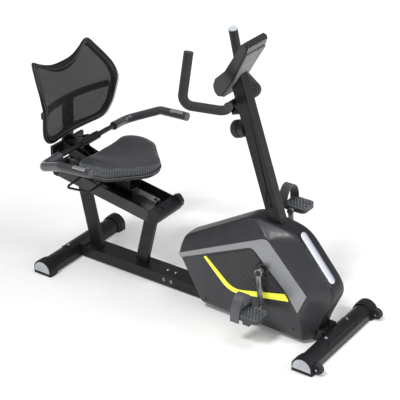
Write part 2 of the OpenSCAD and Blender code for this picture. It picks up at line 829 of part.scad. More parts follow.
module drive_belt() {
  color("#0f0f10")
    slab(0.5 - belt_y - belt_w / 2, belt_y * -1 + belt_w / 2 - 0.5) difference() {
      belt_loop(belt_t);
      belt_loop(0);
    }
}

module flywheel_axle() {
  color("#9fa2a7") rod_y(fly_x, fly_z, axle_r - run_gap, -86, 34);
}

module flywheel() {
  color("#6f7379")
    translate([fly_x, 0, fly_z]) rotate([90, 0, 0]) difference() {
      union() {
        cylinder(r = flywheel_r, h = fly_t, center = true, $fn = 96);
        translate([0, 0, 0]) cylinder(r = 14, h = belt_y + belt_w / 2);
        translate([0, 0, belt_y - belt_w / 2]) cylinder(r = small_r, h = belt_w);
      }
      difference() {
        cylinder(r = flywheel_r - 18, h = 60, center = true, $fn = 96);
        cylinder(r = flywheel_r - 10, h = 12, center = true, $fn = 96);
        translate([0, 0, -60]) cylinder(r = 22, h = 160);
      }
      translate([0, 0, -50]) cylinder(r = axle_r, h = 160);
    }
}

module idler_wheel() {
  color("#3b3d41")
    translate([idler_x, -belt_y, idler_z]) rotate([90, 0, 0]) difference() {
      cylinder(r = idler_r, h = belt_w - 1, center = true);
      cylinder(r = 5, h = 30, center = true);
    }
}

module brake_arm() {
  r0 = flywheel_r + 4;
  color("#8d9096")
    difference() {
      union() {
        rod_y(brake_x, brake_z, 10, -10, 20);
        slab(-10, 12) polygon([[202, 110], [240, 107], [240, 126], [214, 126], [204, 119]]);
        translate([fly_x, 0, fly_z]) rotate([90, 0, 0])
          translate([0, 0, -13]) rotate([0, 0, -42]) rotate_extrude(angle = 62, $fn = 96)
            translate([r0 + 4, 0]) square([4, 26]);
        translate([fly_x, 0, fly_z]) rotate([90, 0, 0]) translate([0, 0, -13])
          for (a = [-36:14:14]) rotate([0, 0, a]) translate([r0, -8, 2]) cube([5, 16, 22]);
      }
      rod_y(brake_x, brake_z, 5, -40, 40);
    }
}

module pedal_spindles() {
  color("#b9bcc1")
    for (s = [0, 180]) at_crank(crank_rest + s) mirror([0, s / 180, 0]) {
      rod_y(0, -crank_len, spindle_r, -pedal_y - 36, -arm_y);
      rod_y(0, -crank_len, 10, -arm_y - arm_t - 7, -arm_y - arm_t - 1);
    }
}

module pedal_body() {
  difference() {
    union() {
      hull() for (x = [-30, 30], y = [-24, 24]) translate([x, y, -10])
        cylinder(r = 22, h = 20, $fn = 32);
      translate([-16, -pedal_half, -24]) cube([32, 12, 30]);
      both_sides() translate([-54, -pedal_half - 1.5, -8]) cube([24, 10, 14]);
      for (x = [-36:18:36], y = [-30:20:30]) translate([x, y, 9]) cylinder(r = 3, h = 4, $fn = 12);
    }
    translate([0, 60, 0]) rotate([90, 0, 0]) cylinder(r = spindle_r + run_gap, h = 97);
    for (x = [-32, 32]) translate([x, 0, -20]) cylinder(r = 7, h = 24);
  }
}

// The strap arches from the outer edge of the pedal, where it hangs lower, to the inner edge.
module strap_band() {
  rings = 28;
  span = pedal_half + 5;
  translate([-72, 0, 0]) rotate([90, 0, 90]) linear_extrude(42) polygon(concat(
    [[-span, -26]],
    [for (i = [rings:-1:0]) [span * cos(i * 180 / rings), strap_rise * sin(i * 180 / rings)]],
    [for (i = [0:rings]) [(span - 3) * cos(i * 180 / rings),
      (strap_rise - 3) * sin(i * 180 / rings)]], [[3 - span, -26]]));
}

pedal_dx = crank_len * sin(crank_rest);
pedal_dz = -crank_len * cos(crank_rest);

module pedal_right() {
  color("#3c3e42") translate([crank_x + pedal_dx, -pedal_y, crank_z + pedal_dz]) pedal_body();
}

module pedal_left() {
  color("#3c3e42") translate([crank_x - pedal_dx, pedal_y, crank_z - pedal_dz])
    mirror([0, 1, 0]) pedal_body();
}

module strap_right() {
  color("#55575c") translate([crank_x + pedal_dx, -pedal_y, crank_z + pedal_dz]) strap_band();
}

module strap_left() {
  color("#55575c") translate([crank_x - pedal_dx, pedal_y, crank_z - pedal_dz])
    mirror([0, 1, 0]) strap_band();
}

module seat_carriage() {
  color("#1f2023")
    difference() {
      union() {
        at_rail() translate([sled_s0, -plate_y - plate_t, rail_top + pad_t])
          cube([sled_s1 - sled_s0, 2 * (plate_y + plate_t), 4]);
        both_sides() {
          at_rail() translate([sled_s0, -rail_w / 2 - pad_t - 4, -32])
            cube([sled_s1 - sled_s0, 4, 32 + rail_top + pad_t + 1]);
          slab(-plate_y - plate_t, -plate_y) polygon([[-556, 442.5], [-344, 407.5], [-344, 480],
            [-480, 480], [-575, 507], [-back_plate_x, 545], [-back_plate_x, 500], [-600, 465]]);
          slab(-22, -16) polygon([[-540, 489], [-604, 532], [-604, 571], [-587.5, 571],
            [-587.5, 585], [-612, 583], [-back_plate_x, 540], [-back_plate_x, 505], [-600, 470]]);
        }
        slab(-plate_y - 1, plate_y + 1) polygon([[-556, 444], [-600, 466.5], [-back_plate_x, 501.5],
          [-back_plate_x, 505.5], [-600, 470.5], [-556, 448]]);
        translate([-480, -plate_y - 1, 476]) cube([136, 2 * plate_y + 2, 4]);
        translate([-back_plate_x, -plate_y - 1, 501]) cube([4, 2 * plate_y + 2, 44]);
        rod_y(-587.5, 571, tube_r + 7, -60, 60);
        for (s = [sled_s0 + 4, sled_s1 - 60]) at_rail(s, rail_top + 5)
          translate([0, -plate_y - 13, 0]) cube([6, 10, lever_n - rail_top + 3]);
      }
      rod_y(-587.5, 571, tube_r + 0.05, -70, 70);
      at_rail(-200) translate([0, -lever_y, lever_n]) rotate([0, 90, 0])
        cylinder(r = lever_r + run_gap, h = 400);
      at_rail(-119) translate([0, -lever_y, lever_n]) rotate([0, 90, 0])
        cylinder(r = lever_r + 0.5, h = 142);
    }
}

module glide_pads() {
  color("#d8d8d4")
    at_rail() for (s = [sled_s0 + 5, sled_s1 - 35]) translate([s, 0, 0]) difference() {
      translate([0, -rail_w / 2 - pad_t, -30]) cube([30, rail_w + 2 * pad_t, 30 + rail_top + pad_t]);
      translate([-1, -rail_w / 2 - run_gap, -31])
        cube([32, rail_w + 2 * run_gap, 31 + rail_top + run_gap]);
    }
}

module seat_outline(grow = 0) {
  hull() for (s = [-1, 1]) {
    translate([-485, s * 140]) circle(r = 41 + grow);
    translate([-420, s * 116]) circle(r = 74 + grow);
    translate([-390, s * 120]) circle(r = 66 + grow);
    translate([-312, s * 10]) circle(r = 86 + grow);
  }
}

module seat_pan() {
  color("#141517") {
    translate([0, 0, seat_z - 9]) linear_extrude(8.8) seat_outline(-8);
    translate([-476, -32, 480.2]) cube([128, 64, seat_z - 488]);
  }
}

module seat_cushion() {
  color("#3b3d42")
    hull() {
      translate([0, 0, seat_z + 5]) linear_extrude(26) seat_outline();
      translate([0, 0, seat_z]) linear_extrude(seat_thick - 10) seat_outline(-6);
      translate([0, 0, seat_z]) linear_extrude(seat_thick) seat_outline(-26);
    }
}

module backrest_spine() {
  bar_z = 730;
  bar_ys = [for (y = [-222:37:222]) y];
  color("#17181a") {
    slab(-32, 32) polygon([[-back_plate_x - 3, 497], [-back_plate_x - 0.2, 545], [-693, 598],
      [-695, 660], [-693, 714], [-686, 755], [-698, 755], [-705, 714], [-707, 660], [-705, 598],
      [-back_plate_x - 12, 545], [-back_plate_x - 12, 497]]);
    translate([-back_plate_x - 14, -105, 497]) cube([13.8, 210, 47]);
    translate([0, 0, bar_z]) linear_extrude(25) polygon(concat(
      [for (y = bar_ys) [back_x(y, bar_z) - 13, y]],
      [for (i = [len(bar_ys) - 1:-1:0]) [back_x(bar_ys[i], bar_z) - 27, bar_ys[i]]]));
  }
}

module backrest_frame() {
  steps = 4;
  ring = loop_curve(back_edge, steps);
  color("#1b1c1f")
    closed_band([for (p = ring) let (c = edge_mid(p, back_rim / 2), d = unit(p - [0, 760]))
      [for (k = [0:9]) let (a = k * 36, q = c + d * cos(a) * back_rim / 2)
        [back_x(c[0], c[1]) - 9 * sin(a), q[0], q[1]]]]);
}

module backrest_mesh() {
  steps = 4;
  rings = 6;
  ring = [for (p = loop_curve(back_edge, steps)) edge_mid(p, back_rim + 1)];
  m = len(ring);
  function spot(p, k) = mix([0, 760], p, k / rings);
  pts = concat(
    [for (side = [0, 1]) for (k = [1:rings]) for (p = ring) let (q = spot(p, k))
      [back_x(q[0], q[1]) - (1 - side) * 3, q[0], q[1]]],
    [[back_x(0, 760) - 3, 0, 760], [back_x(0, 760), 0, 760]]);
  back0 = rings * m;
  tip = 2 * rings * m;
  color("#2c2d30")
    polyhedron(pts, concat(
      [for (k = [0:rings - 2]) for (i = [0:m - 1]) let (j = (i + 1) % m)
        [k * m + i, k * m + j, (k + 1) * m + j, (k + 1) * m + i]],
      [for (k = [0:rings - 2]) for (i = [0:m - 1]) let (j = (i + 1) % m)
        [back0 + (k + 1) * m + i, back0 + (k + 1) * m + j, back0 + k * m + j, back0 + k * m + i]],
      [for (i = [0:m - 1]) let (j = (i + 1) % m) [tip, j, i]],
      [for (i = [0:m - 1]) let (j = (i + 1) % m) [tip + 1, back0 + i, back0 + j]],
      [for (i = [0:m - 1]) let (j = (i + 1) % m, e = (rings - 1) * m)
        [e + i, e + j, back0 + e + j, back0 + e + i]]));
}

module seat_handlebar() {
  color("#1c1d1f") bent(seat_bar, seat_bends, tube_r, tube_r - 2);
}

module seat_grips() {
  d = unit(seat_bar[0] - seat_bar[1]);
  color("#2d2e31") both_sides() {
    bent([seat_bar[0], seat_bar[1], seat_bar[2], mix(seat_bar[2], seat_bar[3], 0.6)],
      seat_bends, grip_r, tube_r + grip_fit);
    straight(seat_bar[0] + d * 0.1, seat_bar[0] + d * 4, grip_r, 0);
  }
}

module pulse_sensors() {
  a = mix(seat_bar[0], seat_bar[1], 0.12);
  b = mix(seat_bar[0], seat_bar[1], 0.55);
  color("#d3d6da")
    both_sides() intersection() {
      straight(a, b, grip_r + 1.5, grip_r + 0.1);
      translate([a[0] - 80, a[1] - 15, a[2] + 1]) cube([100, 30, 40]);
    }
}

module seat_lever() {
  path = [[40, -lever_y, lever_n], [2, -lever_y, lever_n], [-8, -104, 41], [-10, -200, 34],
    [-130, -200, 0], [-106, -lever_y, lever_n], [-150, -lever_y, lever_n]];
  color("#141416") at_rail() bent(path, [0, 8, 20, 16, 16, 8, 0], lever_r);
}

stabilizer_tubes();
rear_stabilizer_caps();
front_stabilizer_caps();
frame_bolts();
rear_frame();
front_frame();
seat_rail();
rail_cover();
rail_end_caps();
housing_right();
housing_left();
housing_spine();
front_trim_strip();
side_trims();
side_panels();
accent_stripes();
console_post();
handlebar();
handlebar_grips();
handlebar_end_caps();
handlebar_clamp();
console_case();
console_back();
console_display();
button_mode();
button_set();
button_reset();
tension_base();
tension_knob();
tension_cable();
crank_bearings();
crank_axle();
crank_arm_right();
crank_arm_left();
crank_caps();
drive_pulley();
drive_belt();
flywheel_axle();
flywheel();
idler_wheel();
brake_arm();
pedal_spindles();
pedal_right();
pedal_left();
strap_right();
strap_left();
transport_wheel_right();
transport_wheel_left();
wheel_axles();
seat_carriage();
glide_pads();
seat_pan();
seat_cushion();
backrest_spine();
backrest_frame();
backrest_mesh();
seat_handlebar();
seat_grips();
seat_lever();
pulse_sensors();
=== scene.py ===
import json
import math

import bmesh
import bpy
import numpy as np
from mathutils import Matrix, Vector


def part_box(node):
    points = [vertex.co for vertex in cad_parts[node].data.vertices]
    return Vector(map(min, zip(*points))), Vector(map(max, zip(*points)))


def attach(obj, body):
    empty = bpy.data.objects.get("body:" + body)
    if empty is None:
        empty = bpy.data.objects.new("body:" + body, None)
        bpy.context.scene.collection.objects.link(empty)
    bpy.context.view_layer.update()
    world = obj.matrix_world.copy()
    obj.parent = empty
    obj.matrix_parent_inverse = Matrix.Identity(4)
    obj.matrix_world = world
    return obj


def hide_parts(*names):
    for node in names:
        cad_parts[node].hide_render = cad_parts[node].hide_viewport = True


# +X is the way the rider faces, +Y the rider's left, +Z up, and the floor is z = 0.
# Lengths are in metres, or in mm where a comment says so.

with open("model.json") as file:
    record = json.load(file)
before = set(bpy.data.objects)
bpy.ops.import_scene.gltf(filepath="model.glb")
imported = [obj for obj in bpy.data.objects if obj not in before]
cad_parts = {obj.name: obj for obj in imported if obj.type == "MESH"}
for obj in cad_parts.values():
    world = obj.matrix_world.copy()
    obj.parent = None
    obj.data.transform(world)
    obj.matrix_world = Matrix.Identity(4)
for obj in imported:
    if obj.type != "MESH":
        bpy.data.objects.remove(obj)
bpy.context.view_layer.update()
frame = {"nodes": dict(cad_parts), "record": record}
NODES = frame["nodes"]
MM = 0.001

# ---------------------------------------------------------------- shader nodes

CLOUD_SCALE, GLOSS_SCALE = 14, 60
NOISE_ROUGHNESS = 0.55
EDGE_SAMPLES = 4
COAT_ROUGHNESS = 0.12
# Numbers of the Mix node's sockets for colours, because several of its sockets share each name.
MIX_FACTOR, MIX_A, MIX_B, MIX_RESULT = 0, 6, 7, 2


def ramp(tree, value, stops):
    """A colour ramp fed by value, from two (position, grey or colour) stops."""
    node = tree.nodes.new("ShaderNodeValToRGB")
    for element, (position, color) in zip(node.color_ramp.elements, stops):
        element.position = position
        element.color = (*color, 1) if isinstance(color, tuple) else (color, color, color, 1)
    tree.links.new(value, node.inputs["Fac"])
    return node.outputs["Color"]


def noise(tree, coords, scale, detail):
    node = tree.nodes.new("ShaderNodeTexNoise")
    node.inputs["Scale"].default_value = scale
    node.inputs["Detail"].default_value = detail
    node.inputs["Roughness"].default_value = NOISE_ROUGHNESS
    tree.links.new(coords, node.inputs["Vector"])
    return node.outputs["Fac"]


def cells(tree, coords, scale):
    node = tree.nodes.new("ShaderNodeTexVoronoi")
    node.feature = "DISTANCE_TO_EDGE"
    node.inputs["Scale"].default_value = scale
    tree.links.new(coords, node.inputs["Vector"])
    return node.outputs["Distance"]


def wave(tree, coords, scale):
    """Straight bands across the y direction."""
    node = tree.nodes.new("ShaderNodeTexWave")
    node.bands_direction = "Y"
    node.inputs["Scale"].default_value = scale
    tree.links.new(coords, node.inputs["Vector"])
    return node.outputs["Fac"]


def mapped(tree, rotation=(0, 0, 0), scale=(1, 1, 1)):
    """The object's own coordinates, turned and stretched."""
    coords = tree.nodes.new("ShaderNodeTexCoord")
    mapping = tree.nodes.new("ShaderNodeMapping")
    mapping.inputs["Rotation"].default_value = rotation
    mapping.inputs["Scale"].default_value = scale
    tree.links.new(coords.outputs["Object"], mapping.inputs["Vector"])
    return mapping.outputs["Vector"]


def reach(tree, value, source, target=(0.0, 1.0)):
    """value moved from the source range into the target range."""
    node = tree.nodes.new("ShaderNodeMapRange")
    limits = zip(("From Min", "From Max", "To Min", "To Max"), (*source, *target))
    for key, limit in limits:
        node.inputs[key].default_value = limit
    tree.links.new(value, node.inputs["Value"])
    return node.outputs["Result"]


def calculate(tree, operation, *values):
    node = tree.nodes.new("ShaderNodeMath")
    node.operation = operation
    for value, socket in zip(values, node.inputs):
        tree.links.new(value, socket)
    return node.outputs[0]


def bump(tree, height, strength, distance, normal=None):
    node = tree.nodes.new("ShaderNodeBump")
    node.inputs["Strength"].default_value = strength
    node.inputs["Distance"].default_value = distance
    tree.links.new(height, node.inputs["Height"])
    if normal is not None:
        tree.links.new(normal, node.inputs["Normal"])
    return node.outputs["Normal"]


def mix(tree, factor, a, b):
    """a where factor is 0, b where it is 1; each is a socket, and b may be a plain colour."""
    node = tree.nodes.new("ShaderNodeMix")
    node.data_type = "RGBA"
    tree.links.new(factor, node.inputs[MIX_FACTOR])
    tree.links.new(a, node.inputs[MIX_A])
    if isinstance(b, tuple):
        node.inputs[MIX_B].default_value = (*b, 1)
    else:
        tree.links.new(b, node.inputs[MIX_B])
    return node.outputs[MIX_RESULT]


def principled(material):
    return material.node_tree.nodes["Principled BSDF"]


def fed_by(shader, key):
    """The socket that feeds one of the shader's inputs."""
    return shader.inputs[key].links[0].from_socket


# ---------------------------------------------------------------- kinds of material


def surface(name, base, rough=0.5, metal=0.0, grain=900, grain_bump=0.2, kind="noise", vary=0.15,
            edge_wear_and_highlight=0.3, edge_wear_and_highlight_color=None, coat=0.0, edge=1.0, stretch=(1, 1, 1), turn=(0, 0, 0),
            sheen=0.0, specular=0.5, depth=0.15, uneven=0.07):
    """A material with cloudy colour, uneven gloss, fine relief and soft edges paled partly as wear and
    partly as a painted highlight (edge, depth in mm).
    """
    material = bpy.data.materials.new(name)
    material.use_nodes = True
    tree = material.node_tree
    shader = principled(material)
    coords = mapped(tree, turn, stretch)
    darker = tuple(c * (1 - vary) for c in base)
    lighter = tuple(min(1, c * (1 + vary)) for c in base)
    tone = ramp(tree, noise(tree, coords, CLOUD_SCALE, 5), [(0.3, darker), (0.7, lighter)])
    normal = None
    if edge > 0:
        bevel = tree.nodes.new("ShaderNodeBevel")
        bevel.samples = EDGE_SAMPLES
        bevel.inputs["Radius"].default_value = edge * MM
        normal = bevel.outputs["Normal"]
        if edge_wear_and_highlight > 0:
            pale = edge_wear_and_highlight_color or tuple(min(1, c * 3 + 0.02) for c in base)
            tone = worn_and_highlit_edges(tree, normal, tone, edge_wear_and_highlight, pale)
    tree.links.new(tone, shader.inputs["Base Color"])
    gloss = ramp(tree, noise(tree, coords, GLOSS_SCALE, 4), [(0.25, max(0.02, rough - uneven)),
                                                            (0.75, rough + uneven)])
    tree.links.new(gloss, shader.inputs["Roughness"])
    relief = cells(tree, coords, grain) if kind == "cells" else noise(tree, coords, grain, 2)
    tree.links.new(bump(tree, relief, grain_bump, depth * MM, normal), shader.inputs["Normal"])
    shader.inputs["Metallic"].default_value = metal
    shader.inputs["Coat Weight"].default_value = coat
    shader.inputs["Coat Roughness"].default_value = COAT_ROUGHNESS
    shader.inputs["Sheen Weight"].default_value = sheen
    shader.inputs["Specular IOR Level"].default_value = specular
    return material


def worn_and_highlit_edges(tree, normal, tone, edge_wear_and_highlight, color):
    """Lets color through where the bevelled normal leaves the true one, which is along edges: partly wear,
    partly a painted edge highlight.
    """
    geometry = tree.nodes.new("ShaderNodeNewGeometry")
    dot = tree.nodes.new("ShaderNodeVectorMath")
    dot.operation = "DOT_PRODUCT"
    tree.links.new(normal, dot.inputs[0])
    tree.links.new(geometry.outputs["Normal"], dot.inputs[1])
    return mix(tree, ramp(tree, dot.outputs["Value"], [(0.8, edge_wear_and_highlight), (0.985, 0.0)]), tone, color)


def ribbed(material, scale, strength, distance):
    """Adds straight fine ribs on top of a material's relief (distance in mm)."""
    tree, shader = material.node_tree, principled(material)
    lines = wave(tree, mapped(tree), scale)
    tree.links.new(bump(tree, lines, strength, distance * MM, fed_by(shader, "Normal")),
                   shader.inputs["Normal"])
    return material


def net_material(name, base, threads=105, lean=0.6):
    """An open knitted net: two crossing sets of threads with gaps that let light through."""
    material = surface(name, base, rough=0.7, grain=700, edge=0, sheen=0.03, vary=0.2, specular=0.18)
    tree, shader = material.node_tree, principled(material)
    sets = [wave(tree, mapped(tree, (turn, 0, 0)), threads) for turn in (lean, -lean)]
    top = calculate(tree, "MAXIMUM", *sets)
    tree.links.new(ramp(tree, top, [(0.25, 0.42), (0.8, 0.88)]), shader.inputs["Alpha"])
    tree.links.new(bump(tree, top, 0.4, 0.5 * MM, fed_by(shader, "Normal")), shader.inputs["Normal"])
    return material


def changed_beyond(material, axis, start, end, color, rough):
    """Changes a material's colour and roughness past a place along an axis."""
    tree, shader = material.node_tree, principled(material)
    split = tree.nodes.new("ShaderNodeSeparateXYZ")
    tree.links.new(mapped(tree), split.inputs[0])
    share = reach(tree, split.outputs[axis], (start, end))
    for key, value in (("Base Color", color), ("Roughness", (rough,) * 3)):
        tree.links.new(mix(tree, share, fed_by(shader, key), value), shader.inputs[key])
    return material


def ribs_with_painted_crests(material, crest_highlight_color=(0.10, 0.105, 0.115)):
    """Fine ribs that follow the cushion's own rib and band attributes, with a painted highlight on their
    crests.
    """
    tree, shader = material.node_tree, principled(material)
    rib, band = tree.nodes.new("ShaderNodeAttribute"), tree.nodes.new("ShaderNodeAttribute")
    rib.attribute_name = "rib"
    band.attribute_name = "band"
    height = reach(tree, calculate(tree, "SINE", rib.outputs["Fac"]), (-1.0, 1.0))
    height = calculate(tree, "MULTIPLY", height, band.outputs["Fac"])
    crest_highlight = ramp(tree, height, [(0.3, 0.0), (0.75, 1.0)])
    tree.links.new(mix(tree, crest_highlight, fed_by(shader, "Base Color"), crest_highlight_color),
                   shader.inputs["Base Color"])
    tree.links.new(bump(tree, height, 0.6, 1.0 * MM, fed_by(shader, "Normal")), shader.inputs["Normal"])
    return material


# Painted light: emission that makes a material look brighter than the lamps light it, though it is no lamp.
def painted_glow(material, color, strength):
    shader = principled(material)
    shader.inputs["Emission Color"].default_value = (*color, 1)
    shader.inputs["Emission Strength"].default_value = strength
    return material


# ---------------------------------------------------------------- the part's materials

RAIL_TURN = (0, math.radians(-9.37), 0)
# The bolts above this height are black, the ones below it bright.
BLACK_BOLTS = 0.3
MATERIALS = {
    "frame_paint": surface("frame_paint", (0.013, 0.0135, 0.015), 0.36, kind="cells", grain=650,
                           coat=0.05, specular=0.26),
    "cap_plastic": surface("cap_plastic", (0.011, 0.0118, 0.0135), 0.48, grain=1100, grain_bump=0.35,
                           specular=0.3),
    "bolt_steel": changed_beyond(surface("bolt_steel", (0.26, 0.265, 0.28), 0.34, 1.0, edge_wear_and_highlight=0, edge=0.4),
                                 "Z", BLACK_BOLTS, BLACK_BOLTS + 0.01, (0.03, 0.03, 0.033), 0.35),
    "rail_silver": surface("rail_silver", (0.66, 0.67, 0.69), 0.3, 0.9, stretch=(0.06, 1, 1),
                           turn=RAIL_TURN, edge_wear_and_highlight=0.2, grain=500),
    "cover_plastic": surface("cover_plastic", (0.03, 0.0315, 0.035), 0.5, grain=1000, grain_bump=0.3,
                             edge=1.5),
    "housing_plastic": surface("housing_plastic", (0.036, 0.0372, 0.041), 0.38, grain=1300,
                               grain_bump=0.22, edge=4, edge_wear_and_highlight=0.12),
    "spine_plastic": surface("spine_plastic", (0.012, 0.0125, 0.015), 0.42, grain=300, grain_bump=0.03,
                             edge=0, edge_wear_and_highlight=0, coat=0.04, specular=0.4, uneven=0.03),
    # Painted highlight: the near-white edge colour paints the bright glint along the trims' edges.
    "trim_silver": surface("trim_silver", (0.32, 0.325, 0.335), 0.3, 0.8, stretch=(0.3, 1, 1), grain=80,
                           grain_bump=0.01, uneven=0.01, vary=0.05, edge_wear_and_highlight=0.9,
                           edge_wear_and_highlight_color=(0.9, 0.9, 0.92), edge=1.2),
    # Painted highlight: the strip is bright silver up to y = -0.014 as a painted reflection, and its own
    # dark purple-black from y = 0.008 on.
    "strip_silver": changed_beyond(surface("strip_silver", (0.78, 0.80, 0.90), 0.3, 0.35, grain=80,
                                           grain_bump=0.01, edge_wear_and_highlight=0, edge=0, vary=0.02, uneven=0.01),
                                   "Y", -0.014, 0.008, (0.14, 0.12, 0.19), 0.25),
    "panel_plastic": surface("panel_plastic", (0.03, 0.031, 0.034), 0.48, grain=1000, edge=0, edge_wear_and_highlight=0),
    # Painted light: the yellow stripes glow a little so that they look brightly lit.
    "stripe_yellow": painted_glow(surface("stripe_yellow", (0.95, 1.0, 0.05), 0.42, grain=900,
                                     grain_bump=0.05, vary=0.03, edge_wear_and_highlight=0, coat=0.2),
                             (0.85, 0.9, 0.12), 0.3),
    "foam": surface("foam", (0.016, 0.0165, 0.018), 0.78, kind="cells", grain=900, grain_bump=0.5,
                    edge=1.5, edge_wear_and_highlight=0.15, sheen=0.15),
    "grip_gloss": surface("grip_gloss", (0.045, 0.048, 0.053), 0.3, kind="cells", grain=420,
                          uneven=0.03, grain_bump=0.12, edge=1.5, edge_wear_and_highlight=0.15, coat=0.3),
    # Painted shade: the caps on the near (-y) side are darkened, though the caps on both sides are the same
    # grey.
    "end_cap": changed_beyond(surface("end_cap", (0.58, 0.62, 0.66), 0.35, grain=500, grain_bump=0.1,
                                      vary=0.08, edge_wear_and_highlight=0.2), "Y", 0.0, -0.01, (0.05, 0.052, 0.056), 0.45),
    "console_plastic": surface("console_plastic", (0.011, 0.0115, 0.0125), 0.3, grain=900,
                               grain_bump=0.1, edge=3, edge_wear_and_highlight=0.12, coat=0.4),
    "console_grey": ribbed(surface("console_grey", (0.17, 0.17, 0.175), 0.5, grain=900, edge=1),
                           180, 0.5, 0.3),
    "display": surface("display", (0.03, 0.045, 0.04), 0.08, grain=200, grain_bump=0.01, edge_wear_and_highlight=0,
                       coat=1.0),
    "key_grey": surface("key_grey", (0.5, 0.52, 0.55), 0.6, grain=1200, edge=0.8),
    "key_red": surface("key_red", (0.55, 0.05, 0.03), 0.55, grain=1200, edge=0.8),
    "knob_plastic": surface("knob_plastic", (0.02, 0.021, 0.023), 0.35, grain=900, grain_bump=0.25,
                            edge=1),
    "steel": surface("steel", (0.5, 0.51, 0.53), 0.3, 1.0, grain=600, edge_wear_and_highlight=0, edge=0.5),
    # Painted highlight: the pale edge colour paints the bright glints along the crank arms' edges.
    "crank_paint": surface("crank_paint", (0.3, 0.305, 0.315), 0.25, 0.85, grain=90, grain_bump=0.01,
                           uneven=0.015, vary=0.05, edge_wear_and_highlight=0.9, edge_wear_and_highlight_color=(0.75, 0.77, 0.8), edge=1.2,
                           coat=0.3),
    "pulley_plastic": surface("pulley_plastic", (0.035, 0.037, 0.04), 0.5, grain=900),
    "belt_rubber": ribbed(surface("belt_rubber", (0.015, 0.015, 0.016), 0.8, grain=900), 150, 0.8, 1),
    "flywheel_iron": surface("flywheel_iron", (0.25, 0.26, 0.28), 0.4, 1.0, kind="cells", grain=300,
                             edge_wear_and_highlight=0.4, edge_wear_and_highlight_color=(0.6, 0.6, 0.62)),
    "pedal_plastic": surface("pedal_plastic", (0.05, 0.052, 0.058), 0.45, grain=900, grain_bump=0.3,
                             edge=1.2, edge_wear_and_highlight=0.35),
    "strap_rubber": surface("strap_rubber", (0.095, 0.099, 0.11), 0.38, grain=700, grain_bump=0.2,
                            edge=0.8, edge_wear_and_highlight=0.5),
    "wheel_rubber": surface("wheel_rubber", (0.025, 0.025, 0.027), 0.7, grain=900, grain_bump=0.3),
    "pad_nylon": surface("pad_nylon", (0.68, 0.68, 0.66), 0.4, grain=600, vary=0.05, edge_wear_and_highlight=0),
    "pan_plastic": surface("pan_plastic", (0.02, 0.021, 0.023), 0.5, grain=1100, grain_bump=0.3),
    # Painted highlight: the vinyl's fine ribs are paler on their crests.
    "vinyl": ribs_with_painted_crests(surface("vinyl", (0.030, 0.0315, 0.0355), 0.42, kind="cells", grain=330,
                              grain_bump=0.3, depth=0.3, edge=0, edge_wear_and_highlight=0, sheen=0.1, vary=0.1)),
    "backrest_plastic": surface("backrest_plastic", (0.005, 0.0052, 0.006), 0.42, grain=900,
                                grain_bump=0.15, edge=1.5, edge_wear_and_highlight=0.08, coat=0.05, specular=0.25),
    "mesh": net_material("mesh", (0.011, 0.0115, 0.013)),
    "sensor": surface("sensor", (0.8, 0.81, 0.83), 0.14, 1.0, grain=400, grain_bump=0.04, edge_wear_and_highlight=0,
                      edge=0.6),
    "cable": surface("cable", (0.012, 0.012, 0.012), 0.6, grain=900, edge=0, edge_wear_and_highlight=0),
}
# Materials of pieces that the CAD doesn't have.
PIPING = surface("piping", (0.07, 0.072, 0.08), 0.45, grain=700, edge=0, edge_wear_and_highlight=0)
BORDER_CLOTH = surface("border_cloth", (0.006, 0.0063, 0.0072), 0.75, kind="cells", grain=500,
                       grain_bump=0.4, edge=0, edge_wear_and_highlight=0, sheen=0.1, specular=0.2)
PLATE = surface("cap_plate", (0.50, 0.515, 0.55), 0.42, grain=1100, grain_bump=0.3, edge=1)
# Painted shade: near-black for the screw recesses, where shade falls.
RECESS_SHADE = surface("painted_shade_recess", (0.006, 0.006, 0.007), 0.6, grain=900, edge=0, edge_wear_and_highlight=0)
TREAD = surface("tread", (0.13, 0.14, 0.15), 0.45, grain=900, grain_bump=0.2, edge=0, edge_wear_and_highlight=0)

for row in frame["record"]["subparts"]:
    data = NODES[row["node"]].data
    data.materials.clear()
    data.materials.append(MATERIALS[row["material_slot"]])

# ---------------------------------------------------------------- mesh helpers


def piece(name, shape, body, slot, material=None, smooth=True):
    """A new object from (points, faces) that rides on a body and takes its finish from a slot."""
    verts, faces = shape
    mesh = bpy.data.meshes.new(name)
    mesh.from_pydata([tuple(v) for v in verts], [], [tuple(f) for f in faces])
    bm = bmesh.new()
    bm.from_mesh(mesh)
    bmesh.ops.recalc_face_normals(bm, faces=bm.faces)
    bm.to_mesh(mesh)
    bm.free()
    mesh.materials.append(material or MATERIALS[slot])
    mesh.polygons.foreach_set("use_smooth", [smooth] * len(mesh.polygons))
    o = bpy.data.objects.new(name, mesh)
    bpy.context.scene.collection.objects.link(o)
    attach(o, body)
    return o


def modifier(o, kind, **values):
    new = o.modifiers.new(kind.lower(), kind)
    for key, value in values.items():
        setattr(new, key, value)
    return new


def apply_all(o):
    """Replaces the object's mesh by its mesh with all modifiers applied."""
    graph = bpy.context.evaluated_depsgraph_get()
    graph.update()
    mesh = bpy.data.meshes.new_from_object(o.evaluated_get(graph))
    materials = list(o.data.materials)
    o.modifiers.clear()
    o.data = mesh
    if not mesh.materials:
        for material in materials:
            mesh.materials.append(material)
    mesh.polygons.foreach_set("use_smooth", [True] * len(mesh.polygons))


def ring_faces(rows, n, closed=False, first=0):
    """Quads between neighbouring rings of n points, numbered from first."""
    faces = []
    for i in range(rows if closed else rows - 1):
        here, there = first + i * n, first + (i + 1) % rows * n
        for k in range(n):
            j = (k + 1) % n
            faces.append((here + k, here + j, there + j, there + k))
    return faces


def fan(centre, first, n):
    """Triangles from a centre point to a ring of n points."""
    return [(centre, first + k, first + (k + 1) % n) for k in range(n)]


def square_to(axis):
    """Two directions square to an axis and to each other."""
    helper = Vector((0, 0, 1)) if abs(axis.z) < 0.9 else Vector((1, 0, 0))
    side = axis.cross(helper).normalized()
    return side, axis.cross(side)


